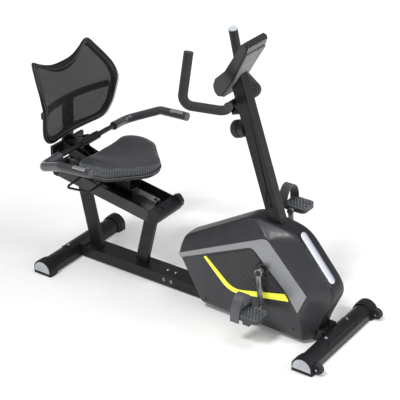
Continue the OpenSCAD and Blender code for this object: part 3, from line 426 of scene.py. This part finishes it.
def lathe(profile, centre, axis, n):
    """A ring or dome: profile points are (radius, height along the axis) in mm."""
    centre, axis = Vector(centre), Vector(axis).normalized()
    u, v = square_to(axis)
    verts = []
    for r, h in profile:
        for k in range(n):
            a = 2 * math.pi * k / n
            verts.append(centre + axis * (h * MM) + (u * math.cos(a) + v * math.sin(a)) * (r * MM))
    faces = ring_faces(len(profile), n)
    if profile[0] != profile[-1]:
        faces += [tuple(range(n)), tuple(range(len(verts) - n, len(verts)))]
    return verts, faces


def cord(points, radius, sides):
    """A closed round cord along points; radius in mm."""
    points = [Vector(p) for p in points]
    n = len(points)
    verts, side = [], None
    for i, p in enumerate(points):
        along = (points[(i + 1) % n] - points[i - 1]).normalized()
        if side is None:
            side = square_to(along)[0]
        side = (side - along * side.dot(along)).normalized()
        up = along.cross(side)
        for k in range(sides):
            a = 2 * math.pi * k / sides
            verts.append(p + (side * math.cos(a) + up * math.sin(a)) * (radius * MM))
    return verts, ring_faces(n, sides, closed=True)


def join(shapes):
    verts, faces = [], []
    for new_verts, new_faces in shapes:
        base = len(verts)
        verts += [tuple(p) for p in new_verts]
        faces += [tuple(i + base for i in face) for face in new_faces]
    return verts, faces


def shape_of(bm):
    """The points, turned from mm into metres, and faces of a bmesh, which is then freed."""
    bm.verts.index_update()
    shape = ([tuple(v.co * MM) for v in bm.verts], [tuple(v.index for v in f.verts) for f in bm.faces])
    bm.free()
    return shape


def catmull(points, steps):
    """A smooth closed curve through the points."""
    p = np.array(points, float)
    n, curve = len(p), []
    for i in range(n):
        a, b, c, d = p[i - 1], p[i], p[(i + 1) % n], p[(i + 2) % n]
        for k in range(steps):
            t = k / steps
            curve.append(0.5 * (2 * b + (c - a) * t + (2 * a - 5 * b + 4 * c - d) * t * t
                                + (3 * b - a - 3 * c + d) * t ** 3))
    return np.array(curve)


def rounded(outline, cuts, n=6):
    """The outline with each corner cut back by its length in cuts and rounded with n points."""
    corners = [Vector(p) for p in outline]
    ring = []
    for i, p in enumerate(corners):
        a, b = corners[i - 1] - p, corners[(i + 1) % len(corners)] - p
        cut_a, cut_b = min(cuts[i], a.length * 0.45), min(cuts[i], b.length * 0.45)
        a, b = p + a.normalized() * cut_a, p + b.normalized() * cut_b
        for k in range(n):
            t = k / (n - 1)
            ring.append(a * (1 - t) ** 2 + p * (2 * t * (1 - t)) + b * t * t)
    return ring


def grown(ring, distance):
    """The ring moved outwards, square to the line between each point's neighbours but one."""
    n, moved = len(ring), []
    for i, p in enumerate(ring):
        along = (ring[(i + 2) % n] - ring[i - 2]).normalized()
        moved.append(p + Vector((-along.y, along.x)) * distance)
    return moved


def ease(value, start, width):
    """0 up to start, 1 from start + width on, and a straight line between."""
    return min(1, max(0, (value - start) / width))


# ---------------------------------------------------------------- CAD nodes that keep their shape

# Widths of the rounded edges, in mm.
EDGE_WIDTHS = {"side_trims": 1.2, "accent_stripes": 0.8, "console_post": 3.0, "crank_arm_right": 1.2,
               "crank_arm_left": 1.2, "handlebar_clamp": 5.0}
WELD_GAP = 1e-5


def soften_cad():
    """Rounds the edges of hard nodes and smooths the backrest's frame."""
    for node, width in EDGE_WIDTHS.items():
        modifier(NODES[node], "WELD", merge_threshold=WELD_GAP)
        modifier(NODES[node], "BEVEL", width=width * MM, segments=3, limit_method="ANGLE",
                 angle_limit=0.5, use_clamp_overlap=False)
    back = NODES["backrest_frame"]
    modifier(back, "WELD", merge_threshold=WELD_GAP)
    modifier(back, "SUBSURF", levels=1, render_levels=1)
    for poly in back.data.polygons:
        poly.use_smooth = True


soften_cad()

# ---------------------------------------------------------------- seat cushion

# Circles whose common hull is the seat seen from above: x, distance from the middle, radius (mm).
SEAT_CIRCLES = [(-485, 140, 41), (-420, 116, 74), (-390, 120, 66), (-312, 10, 86)]
SEAT_CENTRE = Vector((-0.395, 0.0))
SEAT_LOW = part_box("seat_cushion")[0]
SEAT_TOP = 0.5475
# The raised rear corners, the raised nose and the dish: height, centre, widths, power of the fall along y.
SEAT_MOUNDS = [(0.0175, (-0.435, 0.142), (0.085, 0.062), 2), (0.004, (-0.25, 0), (0.06, 0.15), 4),
               (-0.007, (-0.41, 0), (0.09, 0.085), 2)]
SEAT_SIDES = 128
# The cushion starts smaller than the seat, because it swells.
CUSHION_INSET = 0.003
# Rings from the middle of the top, over the side and under: (share of the radius, share of the height).
CUSHION_RINGS = [(share, 1.0) for share in np.linspace(0.08, 0.90, 12)] + [
    (0.94, 0.985), (0.968, 0.95), (0.986, 0.87), (0.995, 0.72), (1.0, 0.5),
    (0.996, 0.25), (0.985, 0.08), (0.96, 0.0), (0.6, 0.0), (0.3, 0.0)]
CUSHION_LIFT, UNDERSIDE_LIFT = 0.002, 0.0005
CLOTH_FRAMES = 20
RIB_PITCH, RIB_HEIGHT = 0.0115, 0.0009
# A normal that points up more than this belongs to the cushion's top, where the ribs run fore and aft
# and lie closer together than on the side band.
TOP_NORMAL, TOP_RIB_DENSITY = 0.75, 1.6
# How strongly the fine ribs, their relief and their painted crest highlight, are drawn on the side band and
# on the top.
BAND_SHARE, TOP_SHARE = 0.9, 0.42
WELT_INSET, WELT_HEIGHT, WELT_RADIUS = 0.0065, 0.005, 3.4


def convex(points):
    """The points' hull, in order."""
    points = sorted(set(points))
    ring = []
    for row in (points, points[::-1]):
        hull = []
        for p in row:
            while len(hull) > 1 and ((hull[-1][0] - hull[-2][0]) * (p[1] - hull[-2][1])
                                     - (hull[-1][1] - hull[-2][1]) * (p[0] - hull[-2][0])) <= 0:
                hull.pop()
            hull.append(p)
        ring += hull[:-1]
    return ring


def seat_radii():
    """The seat's outline seen from above, as SEAT_SIDES radii round its centre."""
    dots = [(round((x + r * math.cos(a)) * MM, 6), round((side * y + r * math.sin(a)) * MM, 6))
            for x, y, r in SEAT_CIRCLES for side in (-1, 1)
            for a in np.linspace(0, 2 * math.pi, 40, endpoint=False)]
    ring = [Vector(p) - SEAT_CENTRE for p in convex(dots)]
    radii = []
    for k in range(SEAT_SIDES):
        a = 2 * math.pi * k / SEAT_SIDES
        ray = Vector((math.cos(a), math.sin(a)))
        hits = [hit(ray, p, q) for p, q in zip(ring, ring[1:] + ring[:1])]
        radii.append(max(hits))
    return radii


def hit(ray, p, q):
    """How far along a ray from the origin the line from p to q is met, or 0."""
    edge = q - p
    cross = ray.x * edge.y - ray.y * edge.x
    if abs(cross) < 1e-12:
        return 0
    share = (p.x * ray.y - p.y * ray.x) / cross
    if not -1e-6 <= share <= 1 + 1e-6:
        return 0
    return max(0, (p.x * edge.y - p.y * edge.x) / cross)


SEAT_RADII = seat_radii()


def outline_radius(a):
    t = (a / (2 * math.pi)) % 1 * SEAT_SIDES
    i = int(t)
    return SEAT_RADII[i % SEAT_SIDES] * (1 - t + i) + SEAT_RADII[(i + 1) % SEAT_SIDES] * (t - i)


def arc_lengths():
    """Distance along the outline up to each of its points."""
    ring = [(r * math.cos(2 * math.pi * k / SEAT_SIDES), r * math.sin(2 * math.pi * k / SEAT_SIDES))
            for k, r in enumerate(SEAT_RADII)]
    lengths = [0.0]
    for p, q in zip(ring, ring[1:] + ring[:1]):
        lengths.append(lengths[-1] + math.hypot(q[0] - p[0], q[1] - p[1]))
    return lengths


ARC = arc_lengths()


def mound(x, y, centre, width, power):
    """1 at a centre, falling smoothly away over the widths along x and y."""
    return math.exp(-((y - centre[1]) / width[1]) ** power - ((x - centre[0]) / width[0]) ** 2)


def seat_top(x, y):
    """Height of the seat's top."""
    z = SEAT_TOP
    for height, centre, width, power in SEAT_MOUNDS:
        z += height * mound(x, abs(y), centre, width, power)
    return z


def cushion_shape():
    base = SEAT_LOW.z + CUSHION_LIFT
    verts = [(SEAT_CENTRE.x, SEAT_CENTRE.y, seat_top(*SEAT_CENTRE))]
    for share, lift in CUSHION_RINGS:
        for k, radius in enumerate(SEAT_RADII):
            a = 2 * math.pi * k / SEAT_SIDES
            r = (radius - CUSHION_INSET) * share
            x, y = SEAT_CENTRE.x + r * math.cos(a), SEAT_CENTRE.y + r * math.sin(a)
            verts.append((x, y, base + (seat_top(x, y) - base) * lift))
    verts.append((SEAT_CENTRE.x, SEAT_CENTRE.y, base))
    last = len(verts) - 1
    faces = fan(0, 1, SEAT_SIDES) + ring_faces(len(CUSHION_RINGS), SEAT_SIDES, first=1)
    return verts, faces + fan(last, last - SEAT_SIDES, SEAT_SIDES)


def inflate(o, pressure=4.0, cap=0.006, voxel=0.005):
    """Voxel remesh, a short pressure cloth run, and a cap on how far any point moved."""
    bpy.context.view_layer.objects.active = o
    modifier(o, "REMESH", mode="VOXEL", voxel_size=voxel)
    apply_all(o)
    rest = np.array([v.co for v in o.data.vertices])
    cloth = modifier(o, "CLOTH")
    values = {"quality": 5, "mass": 0.3, "tension_stiffness": 25, "compression_stiffness": 25,
              "shear_stiffness": 12, "bending_stiffness": 4, "use_pressure": True,
              "uniform_pressure_force": pressure}
    for key, value in values.items():
        setattr(cloth.settings, key, value)
    cloth.settings.effector_weights.gravity = 0
    cloth.point_cache.frame_start = 1
    cloth.point_cache.frame_end = CLOTH_FRAMES
    scene = bpy.context.scene
    for f in range(1, CLOTH_FRAMES + 1):
        scene.frame_set(f)
    apply_all(o)
    scene.frame_set(1)
    move = np.array([v.co for v in o.data.vertices]) - rest
    size = np.linalg.norm(move, axis=1, keepdims=True)
    move *= np.minimum(1, cap / np.maximum(size, 1e-9))
    o.data.vertices.foreach_set("co", (rest + move).ravel())
    o.data.update()


def rib_cover(o):
    """Upright ribs round the side band, a flat underside, and the attributes that draw fine ribs."""
    co = np.array([v.co for v in o.data.vertices])
    normals = np.array([v.normal for v in o.data.vertices])
    turns, shares = np.zeros(len(co)), np.zeros(len(co))
    for i, (x, y, z) in enumerate(co):
        a = math.atan2(y - SEAT_CENTRE.y, x - SEAT_CENTRE.x) % (2 * math.pi)
        along = np.interp(a / (2 * math.pi) * SEAT_SIDES, range(SEAT_SIDES + 1), ARC)
        out = math.hypot(x - SEAT_CENTRE.x, y - SEAT_CENTRE.y) / outline_radius(a)
        band = (ease(out, 0.86, 0.08) * ease(z, SEAT_LOW.z + 0.006, 0.006)
                * ease(seat_top(x, y) - z, 0.0008, 0.004))
        co[i] += normals[i] * RIB_HEIGHT * band * math.cos(2 * math.pi * along / RIB_PITCH)
        on_top = normals[i][2] >= TOP_NORMAL
        turns[i] = 2 * math.pi * (y * TOP_RIB_DENSITY if on_top else along) / RIB_PITCH
        shares[i] = TOP_SHARE * ease(out, 0.2, 0.6) if on_top else BAND_SHARE * band
    co[:, 2] = np.clip(co[:, 2], SEAT_LOW.z + UNDERSIDE_LIFT, None)
    o.data.vertices.foreach_set("co", co.ravel())
    for name, values in (("rib", turns), ("band", shares)):
        layer = o.data.attributes.new(name, "FLOAT", "POINT")
        layer.data.foreach_set("value", values.astype(np.float32))
    o.data.update()


def seat_loop(n=160):
    """Points just inside the seat's outline, near its underside."""
    loop = []
    for k in range(n):
        a = 2 * math.pi * k / n
        r = outline_radius(a) - WELT_INSET
        loop.append((SEAT_CENTRE.x + r * math.cos(a), SEAT_CENTRE.y + r * math.sin(a),
                     SEAT_LOW.z + WELT_HEIGHT))
    return loop


def build_cushion():
    cushion = piece("cushion_cover", cushion_shape(), "seat", "vinyl")
    inflate(cushion)
    modifier(cushion, "SUBSURF", levels=1, render_levels=1)
    apply_all(cushion)
    rib_cover(cushion)
    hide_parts("seat_cushion")
    piece("cushion_welt", cord(seat_loop(), WELT_RADIUS, 8), "seat", "vinyl", PIPING)


build_cushion()

# ---------------------------------------------------------------- backrest

# Sizes in this section are in mm. Half of the backrest's outline seen from ahead: (y, z).
HALF_EDGE = [(0, 904), (70, 909), (132, 931), (180, 953), (206, 918), (240, 846), (250, 778),
             (244, 711), (228, 648), (186, 603), (110, 589)]
BACK_EDGE = HALF_EDGE + [(0, 586)] + [(-y, z) for y, z in HALF_EDGE[:0:-1]]
# Where the backrest's side edges are at each height: (z, x).
WING_LINE = [(560, -628), (600, -624), (648, -631), (714, -623), (780, -613), (840, -633),
             (908, -676), (960, -708)]
WING_Z, WING_X = zip(*WING_LINE)
BACK_DISH, BACK_HALF, BACK_RIM = 55, 245, 27
BACK_MIDDLE = np.array([0, 760.0])
NET_OVERLAP, NET_RINGS, NET_THICK = 3, 16, 1.2
# Two cords along the frame: (inset from the outline, how far ahead, radius).
CORDS = [(7, 8.5, 1.3), (22, 7.5, 1.6)]
# Section of the cloth border that holds the net: (inset from the outline, how far ahead).
BORDER = [(19, 1.5), (24, 4.5), (33, 4.2), (38, 2.2), (38.5, 0.8), (33, -0.5), (19, -0.5)]


def back_point(p, ahead=0.0):
    """The point of the dished backrest at p = (y, z), in metres."""
    x = np.interp(p[1], WING_Z, WING_X) - BACK_DISH * (1 - (p[0] / BACK_HALF) ** 2)
    return (x + ahead) * MM, p[0] * MM, p[1] * MM


def build_backrest():
    edge = catmull(BACK_EDGE, 8)
    inward = BACK_MIDDLE - edge
    inward /= np.linalg.norm(inward, axis=1, keepdims=True)
    n = len(edge)

    net_edge = edge + inward * (BACK_RIM - NET_OVERLAP)
    verts = [back_point(BACK_MIDDLE + (p - BACK_MIDDLE) * (k / NET_RINGS))
             for k in range(1, NET_RINGS + 1) for p in net_edge]
    faces = ring_faces(NET_RINGS, n) + fan(len(verts), 0, n)
    verts.append(back_point(BACK_MIDDLE))
    net = piece("backrest_net", (verts, faces), "seat", "mesh")
    modifier(net, "SOLIDIFY", thickness=NET_THICK * MM, offset=0)
    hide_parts("backrest_mesh")

    cords = [cord([back_point(p, ahead) for p in edge + inward * inset], radius, 6)
             for inset, ahead, radius in CORDS]
    piece("backrest_piping", join(cords), "seat", "backrest_plastic", PIPING)

    verts = [back_point(p, ahead) for inset, ahead in BORDER for p in edge + inward * inset]
    faces = ring_faces(len(BORDER), n, closed=True)
    piece("backrest_border", (verts, faces), "seat", "backrest_plastic", BORDER_CLOTH)


build_backrest()

# ---------------------------------------------------------------- housing

# Sizes in this section are in mm, and outlines are (x, z) with a cut length for each corner.
SIDES = ((-1, "right"), (1, "left"))
CRANK = Vector((367, 0, 289))
HUB = Vector((CRANK.x, CRANK.z))
SIDE_Y, SEAM_Y = 95, 45
PANEL = rounded([(95, 261), (311, 363), (466, 216), (228, 151)], [8, 8, 8, 48])
SIDE_FACE = rounded([(-46, 226), (-40, 236), (350, 422.6), (378, 436), (398, 415), (572, 231), (574, 205),
                     (540, 120), (560, 19), (68, 33), (-36, 214)],
                    [3, 3, 14, 14, 14, 14, 12, 14, 6, 6, 4])
FRONT_TOP, FRONT_KNEE = (494, 456), (649, 271)
SEAM = rounded([(-60, 252), (-52, 287), (264, 472), (300, 480), FRONT_TOP, FRONT_KNEE, (666, 223),
                (616, 105), (590, 19), (66, 31), (-40, 217)],
               [8, 10, 16, 16, 60, 40, 26, 24, 8, 8, 6])
SKIN_THICK = 2.5
# A cut box's side this far out makes no cut.
FAR = 1000
# Height of the slot for the beam, and of the one for the front stabilizer, which starts further ahead.
BEAM_SLOT, FOOT_SLOT = 59.5, 65.5


def diamond_panel(side, lean=0.72, pitch=24.0, steps=6, height=2.4, roundness=0.45, hub=31, sunk=1.2):
    """A textured inlay, raised in small diamonds between two slanting sets of lines, sunk round the hub."""
    bm = bmesh.new()
    y0 = side * (SIDE_Y + 1.7)
    bm.faces.new([bm.verts.new((p.x, y0, p.y)) for p in PANEL])
    directions = [Vector((math.sin(lean), 0, sign * math.cos(lean))) for sign in (1, -1)]
    for direction in directions:
        for k in range(-40, 160):
            bmesh.ops.bisect_plane(bm, geom=bm.verts[:] + bm.edges[:] + bm.faces[:], dist=1e-4,
                                   plane_co=direction * (k * pitch / steps), plane_no=direction)
    for vert in bm.verts:
        x, _, z = vert.co
        rise = 1.0
        for direction in directions:
            turns = (x * direction.x + z * direction.z) / pitch
            rise *= abs(math.sin(math.pi * turns)) ** roundness
        if math.hypot(x - CRANK.x, z - CRANK.z) < hub:
            rise = -sunk
        vert.co.y = y0 + side * height * rise
    return shape_of(bm)


def cut_box(bm, low, high):
    """Cuts the mesh along a box's sides and removes the faces inside it."""
    for axis in range(3):
        normal = Vector([float(axis == k) for k in range(3)])
        for value in (low[axis], high[axis]):
            if abs(value) < FAR:
                bmesh.ops.bisect_plane(bm, geom=bm.verts[:] + bm.edges[:] + bm.faces[:], dist=1e-4,
                                       plane_co=normal * value, plane_no=normal)
    gone = [f for f in bm.faces
            if all(low[k] <= f.calc_center_median()[k] <= high[k] for k in range(3))]
    bmesh.ops.delete(bm, geom=gone, context="FACES")


def ring_skin(rings, beam_half, foot_x, foot_half):
    """A skin through rings of (outline, y), with slots cut for the beam and the front stabilizer."""
    bm = bmesh.new()
    rows = [[bm.verts.new((p.x, y, p.y)) for p in ring] for ring, y in rings]
    for a, b in zip(rows, rows[1:]):
        for k in range(len(a)):
            j = (k + 1) % len(a)
            bm.faces.new((a[k], a[j], b[j], b[k]))
    cut_box(bm, (-FAR, -beam_half, -FAR), (FAR, beam_half, BEAM_SLOT))
    cut_box(bm, (foot_x, -foot_half, -FAR), (FAR, foot_half, FOOT_SLOT))
    bmesh.ops.recalc_face_normals(bm, faces=bm.faces)
    return shape_of(bm)


def shell_skin(side, hole=27, swell=4.5):
    """The housing's outer skin on one side, from the crank hole over the side face to the seam."""
    rim = [HUB + (p - HUB).normalized() * hole for p in SIDE_FACE]
    rings = [(rim, SIDE_Y - 4), (rim, SIDE_Y), (grown(SIDE_FACE, -2.6), SIDE_Y),
             (grown(SIDE_FACE, -0.8), SIDE_Y - 0.7)]
    for t in (0.035, 0.12, 0.3, 0.5, 0.7, 0.86, 0.95, 0.985):
        between = [p.lerp(q, t) for p, q in zip(SIDE_FACE, SEAM)]
        rings.append((grown(between, swell * math.sin(math.pi * t)), SIDE_Y + (SEAM_Y - SIDE_Y) * t))
    rings += [(grown(SEAM, -1.6), SEAM_Y + 0.4), (grown(SEAM, -5), SEAM_Y + 0.4)]
    return ring_skin([(ring, side * y) for ring, y in rings], beam_half=47, foot_x=600, foot_half=102)


def spine_skin():
    """The glossy band between the two shells, gently crowned, open where the beam passes."""
    # Half of the section: distance from the middle, and how far it stands out of the seam.
    section = [(44.2, -5), (44.2, -1.6), (43.2, -0.2), (40, 0.8), (32, 1.8), (18, 2.7), (0, 3)]
    half = [(-y, out) for y, out in section]
    whole = half + [(-y, out) for y, out in half[-2::-1]]
    return ring_skin([(grown(SEAM, out), y) for y, out in whole], beam_half=60, foot_x=560, foot_half=60)


def front_strip(middle=-15, half=19, turns=14, above=4, short=8):
    """The slim insert down the front, from above the spine's top bend to short of its knee; its bright near
    side is a painted highlight.
    """
    a, b = Vector(FRONT_TOP), Vector(FRONT_KNEE)
    along = (b - a).normalized()
    out = Vector((-along.y, along.x))
    ends = [((b - a).length - short - half, math.pi / 2), (half - above, -math.pi / 2)]
    ring = []
    for s, start in ends:
        for k in range(turns + 1):
            angle = start - math.pi * k / turns
            ring.append((s, half * math.cos(angle), half * math.sin(angle)))
    # From the foot of the side to the crown: share of the ring's size, and height.
    section = ((1.0, 0.0), (1.0, 3.2), (0.93, 4.4), (0.8, 4.9), (0.5, 5.4), (0.15, 5.6))
    verts = []
    for share, lift in section:
        for s, ahead, y in ring:
            p = a + along * (s + ahead * share) + out * lift
            verts.append((p.x * MM, (middle + y * share) * MM, p.y * MM))
    n = len(ring)
    caps = [tuple(range(n)), tuple(range(len(verts) - n, len(verts)))]
    return verts, ring_faces(len(section), n) + caps


def screw(x, z, side, r=5.5):
    """A recessed screw in a side face: a ring with a small pan head in it."""
    centre, axis = Vector((x, side * (SIDE_Y + 0.2), z)) * MM, (0, side, 0)
    ring = lathe([(r, -0.5), (r, 0.4), (r - 0.8, 0.7), (r - 1.2, 0.1), (r - 1.2, -0.5), (r, -0.5)],
                 centre, axis, 20)
    head = lathe([(r - 1.3, -0.4), (r - 1.5, 0.1), (r * 0.45, 0.35), (r * 0.4, -0.2), (0.01, -0.2)],
                 centre, axis, 12)
    return join([ring, head])


def build_housing():
    for side, word in SIDES:
        piece("diamond_panel_" + word, diamond_panel(side), "frame", "panel_plastic")
    skins = [("housing_skin_" + word, shell_skin(side), "housing_plastic", "housing_" + word)
             for side, word in SIDES]
    skins.append(("housing_spine_skin", spine_skin(), "spine_plastic", "housing_spine"))
    for name, shape, slot, node in skins:
        skin = piece(name, shape, "frame", slot)
        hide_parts(node)
        modifier(skin, "SOLIDIFY", thickness=SKIN_THICK * MM, offset=-1)
    strip = piece("front_strip_insert", front_strip(), "frame", "strip_silver")
    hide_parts("front_trim_strip")

    dust_cover = [(13, 0), (13, 5), (17, 6.5), (24, 6), (28, 4), (29, 1.5), (29, 0), (13, 0)]
    for side, word in SIDES:
        centre = (CRANK.x * MM, side * SIDE_Y * MM, CRANK.z * MM)
        piece("dust_cover_" + word, lathe(dust_cover, centre, (0, side, 0), 48), "frame", "knob_plastic")
    screw_places = ((516, 60), (90, 52), (330, 40), (556, 196), (-18, 225))
    screws = [screw(x, z, side) for side, _ in SIDES for x, z in screw_places]
    # Painted shade: the recess rings and their heads are near-black, which paints the shade in the
    # recesses.
    piece("housing_screws", join(screws), "frame", "knob_plastic", RECESS_SHADE, smooth=False)


build_housing()

# ---------------------------------------------------------------- pedal treads

# Sizes in this section are in mm, measured from the middle of the pedal's top.
TREAD_AHEAD, TREAD_DROP = 1, 3
TREAD_HALF_X, TREAD_HALF_Y, TREAD_CORNER = 28, 22, 18
PAD_PITCH_X, PAD_PITCH_Y, PAD_SHIFT, PAD_BACK = 14.5, 12.5, 7.2, 3.5
PAD_LIMIT_X, PAD_LIMIT_Y = 44, 38
PAD_PROFILE = [(5.4, -0.5), (5.2, 1.6), (4.0, 2.6), (0.01, 2.8)]
LIP_HALF_X, LIP_HALF_Y, LIP_CORNER, LIP_RADIUS, LIP_LIFT = 30, 24, 20.5, 1.5, 0.4


def tread(node):
    """Hexagonal grip pads over the pedal's top, and a raised lip round its outline."""
    low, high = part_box(node)
    middle = Vector(((low.x + high.x) / 2, (low.y + high.y) / 2, high.z))
    middle += Vector((TREAD_AHEAD, 0, -TREAD_DROP)) * MM
    shapes = []
    for row in range(-3, 4):
        for k in range(-3, 4):
            x, y = k * PAD_PITCH_X + (row % 2) * PAD_SHIFT - PAD_BACK, row * PAD_PITCH_Y
            past = math.hypot(max(0, abs(x) - TREAD_HALF_X), max(0, abs(y) - TREAD_HALF_Y))
            if past <= TREAD_CORNER and abs(x) <= PAD_LIMIT_X and abs(y) <= PAD_LIMIT_Y:
                shapes.append(lathe(PAD_PROFILE, middle + Vector((x, y, 0)) * MM, (0, 0, 1), 6))
    lip = []
    for k in range(64):
        a = 2 * math.pi * k / 64
        x, y = math.cos(a), math.sin(a)
        lip.append(middle + Vector((math.copysign(LIP_HALF_X, x) + LIP_CORNER * x,
                                    math.copysign(LIP_HALF_Y, y) + LIP_CORNER * y, LIP_LIFT)) * MM)
    return join([*shapes, cord(lip, LIP_RADIUS, 6)])


for _, word in SIDES:
    piece("pedal_tread_" + word, tread("pedal_" + word), "pedal_" + word, "pedal_plastic", TREAD,
          smooth=False)

# ---------------------------------------------------------------- stabilizer end plates

# Sizes in this section are in mm.
STABILIZER_X, STABILIZER_END = 660, 270
PLATE_WIDTH, PLATE_THICK, PLATE_MARGIN, PLATE_EDGE = 90, 1.6, 3.5, 0.7
PLATE_FOOT, PLATE_SHOULDER, PLATE_TOP = 15, 32, 66


def arched_outline(n=20):
    """An end cap's face, less a margin: upright sides under a round arch."""
    rise, half = PLATE_TOP - PLATE_SHOULDER, PLATE_WIDTH / 2 - PLATE_MARGIN
    r = ((PLATE_WIDTH / 2) ** 2 + rise ** 2) / (2 * rise)
    reach_angle = math.asin(half / r)
    arc = [(r * math.sin(a) * (1 - PLATE_MARGIN / r), PLATE_TOP - r + r * math.cos(a) - PLATE_MARGIN)
           for a in np.linspace(reach_angle, -reach_angle, n)]
    return [(half, PLATE_FOOT), *arc, (-half, PLATE_FOOT)]


def end_plate(x0, side):
    outline = arched_outline()
    n = len(outline)
    verts = [((x0 + x) * MM, side * (STABILIZER_END + depth) * MM, z * MM)
             for depth in (0, PLATE_THICK) for x, z in outline]
    caps = [tuple(range(n)), tuple(range(n, 2 * n))]
    return verts, caps + ring_faces(2, n)


end_plates = [end_plate(x0, side) for x0 in (-STABILIZER_X, STABILIZER_X) for side, _ in SIDES]
plates = piece("cap_plates", join(end_plates), "frame", "cap_plastic", PLATE, smooth=False)
modifier(plates, "BEVEL", width=PLATE_EDGE * MM, segments=2, limit_method="ANGLE", angle_limit=0.7)

# ---------------------------------------------------------------- camera, light and floor

VIEW_TARGET = Vector((-0.0069, 0.0, 0.4494))
VIEW_AZIMUTH, VIEW_ELEVATION = math.radians(34.615), math.radians(27.809)
VIEW_DISTANCE, LENS = 5.715, 124.30
LIT_POINT = Vector((0, 0, 0.4))
SKY_LIGHT, SKY_SEEN = 0.3, 0.98
FLOOR_HALF = 12.0
# The floor's own light grows from the object outwards: distances, then strengths.
GLOW_REACH, GLOW_STRENGTH = (0.9, 3.2), (0.13, 0.36)


def add_to_scene(name, data, direction, place=(0, 0, 0)):
    """A camera or light at a place, facing away from direction."""
    o = bpy.data.objects.new(name, data)
    bpy.context.scene.collection.objects.link(o)
    o.location = place
    o.rotation_mode = "QUATERNION"
    o.rotation_quaternion = Vector(direction).to_track_quat("Z", "Y")
    return o


def add_camera():
    towards = Vector((math.sin(VIEW_AZIMUTH) * math.cos(VIEW_ELEVATION),
                      -math.cos(VIEW_AZIMUTH) * math.cos(VIEW_ELEVATION), math.sin(VIEW_ELEVATION)))
    data = bpy.data.cameras.new("camera")
    data.lens = LENS
    data.sensor_width = 36
    scene = bpy.context.scene
    scene.camera = add_to_scene("camera", data, towards, VIEW_TARGET + towards * VIEW_DISTANCE)
    scene.view_settings.view_transform = "Standard"


def add_sun(direction, power, spread):
    data = bpy.data.lights.new("key", "SUN")
    data.energy = power
    data.angle = math.radians(spread)
    add_to_scene("key", data, direction)


def add_disk_light(name, direction, distance, size, power):
    data = bpy.data.lights.new(name, "AREA")
    data.shape = "DISK"
    data.size = size
    data.energy = power
    direction = Vector(direction).normalized()
    add_to_scene(name, data, direction, LIT_POINT + direction * distance)


def add_sky():
    """A white sky that the camera sees brighter than the light it gives."""
    world = bpy.data.worlds.new("studio")
    world.use_nodes = True
    tree = world.node_tree
    background = tree.nodes["Background"]
    background.inputs["Color"].default_value = (1, 1, 1, 1)
    seen = tree.nodes.new("ShaderNodeLightPath").outputs["Is Camera Ray"]
    tree.links.new(reach(tree, seen, (0.0, 1.0), (SKY_LIGHT, SKY_SEEN)), background.inputs["Strength"])
    bpy.context.scene.world = world


def floor_material():
    paint = surface("floor_paint", (0.85, 0.85, 0.85), 0.6, grain=60, grain_bump=0.02, vary=0.01, edge=0,
                    edge_wear_and_highlight=0, specular=0.1)
    tree, shader = paint.node_tree, principled(paint)
    shader.inputs["Emission Color"].default_value = (1, 1, 1, 1)
    away = tree.nodes.new("ShaderNodeVectorMath")
    away.operation = "LENGTH"
    tree.links.new(mapped(tree), away.inputs[0])
    tree.links.new(reach(tree, away.outputs["Value"], GLOW_REACH, GLOW_STRENGTH),
                   shader.inputs["Emission Strength"])
    return paint


def add_floor():
    corners = [(-FLOOR_HALF, -FLOOR_HALF, 0), (FLOOR_HALF, -FLOOR_HALF, 0),
               (FLOOR_HALF, FLOOR_HALF, 0), (-FLOOR_HALF, FLOOR_HALF, 0)]
    mesh = bpy.data.meshes.new("floor")
    mesh.from_pydata(corners, [], [(0, 1, 2, 3)])
    mesh.materials.append(floor_material())
    floor = bpy.data.objects.new("floor", mesh)
    bpy.context.scene.collection.objects.link(floor)


add_camera()
add_sun((-0.12, -0.50, 0.85), power=1.9, spread=13)
add_disk_light("overhead", (0.35, 0.1, 1.0), distance=3.6, size=1.6, power=40)
add_disk_light("rim", (1.0, 0.25, 0.45), distance=4.0, size=1.0, power=45)
add_sky()
add_floor()
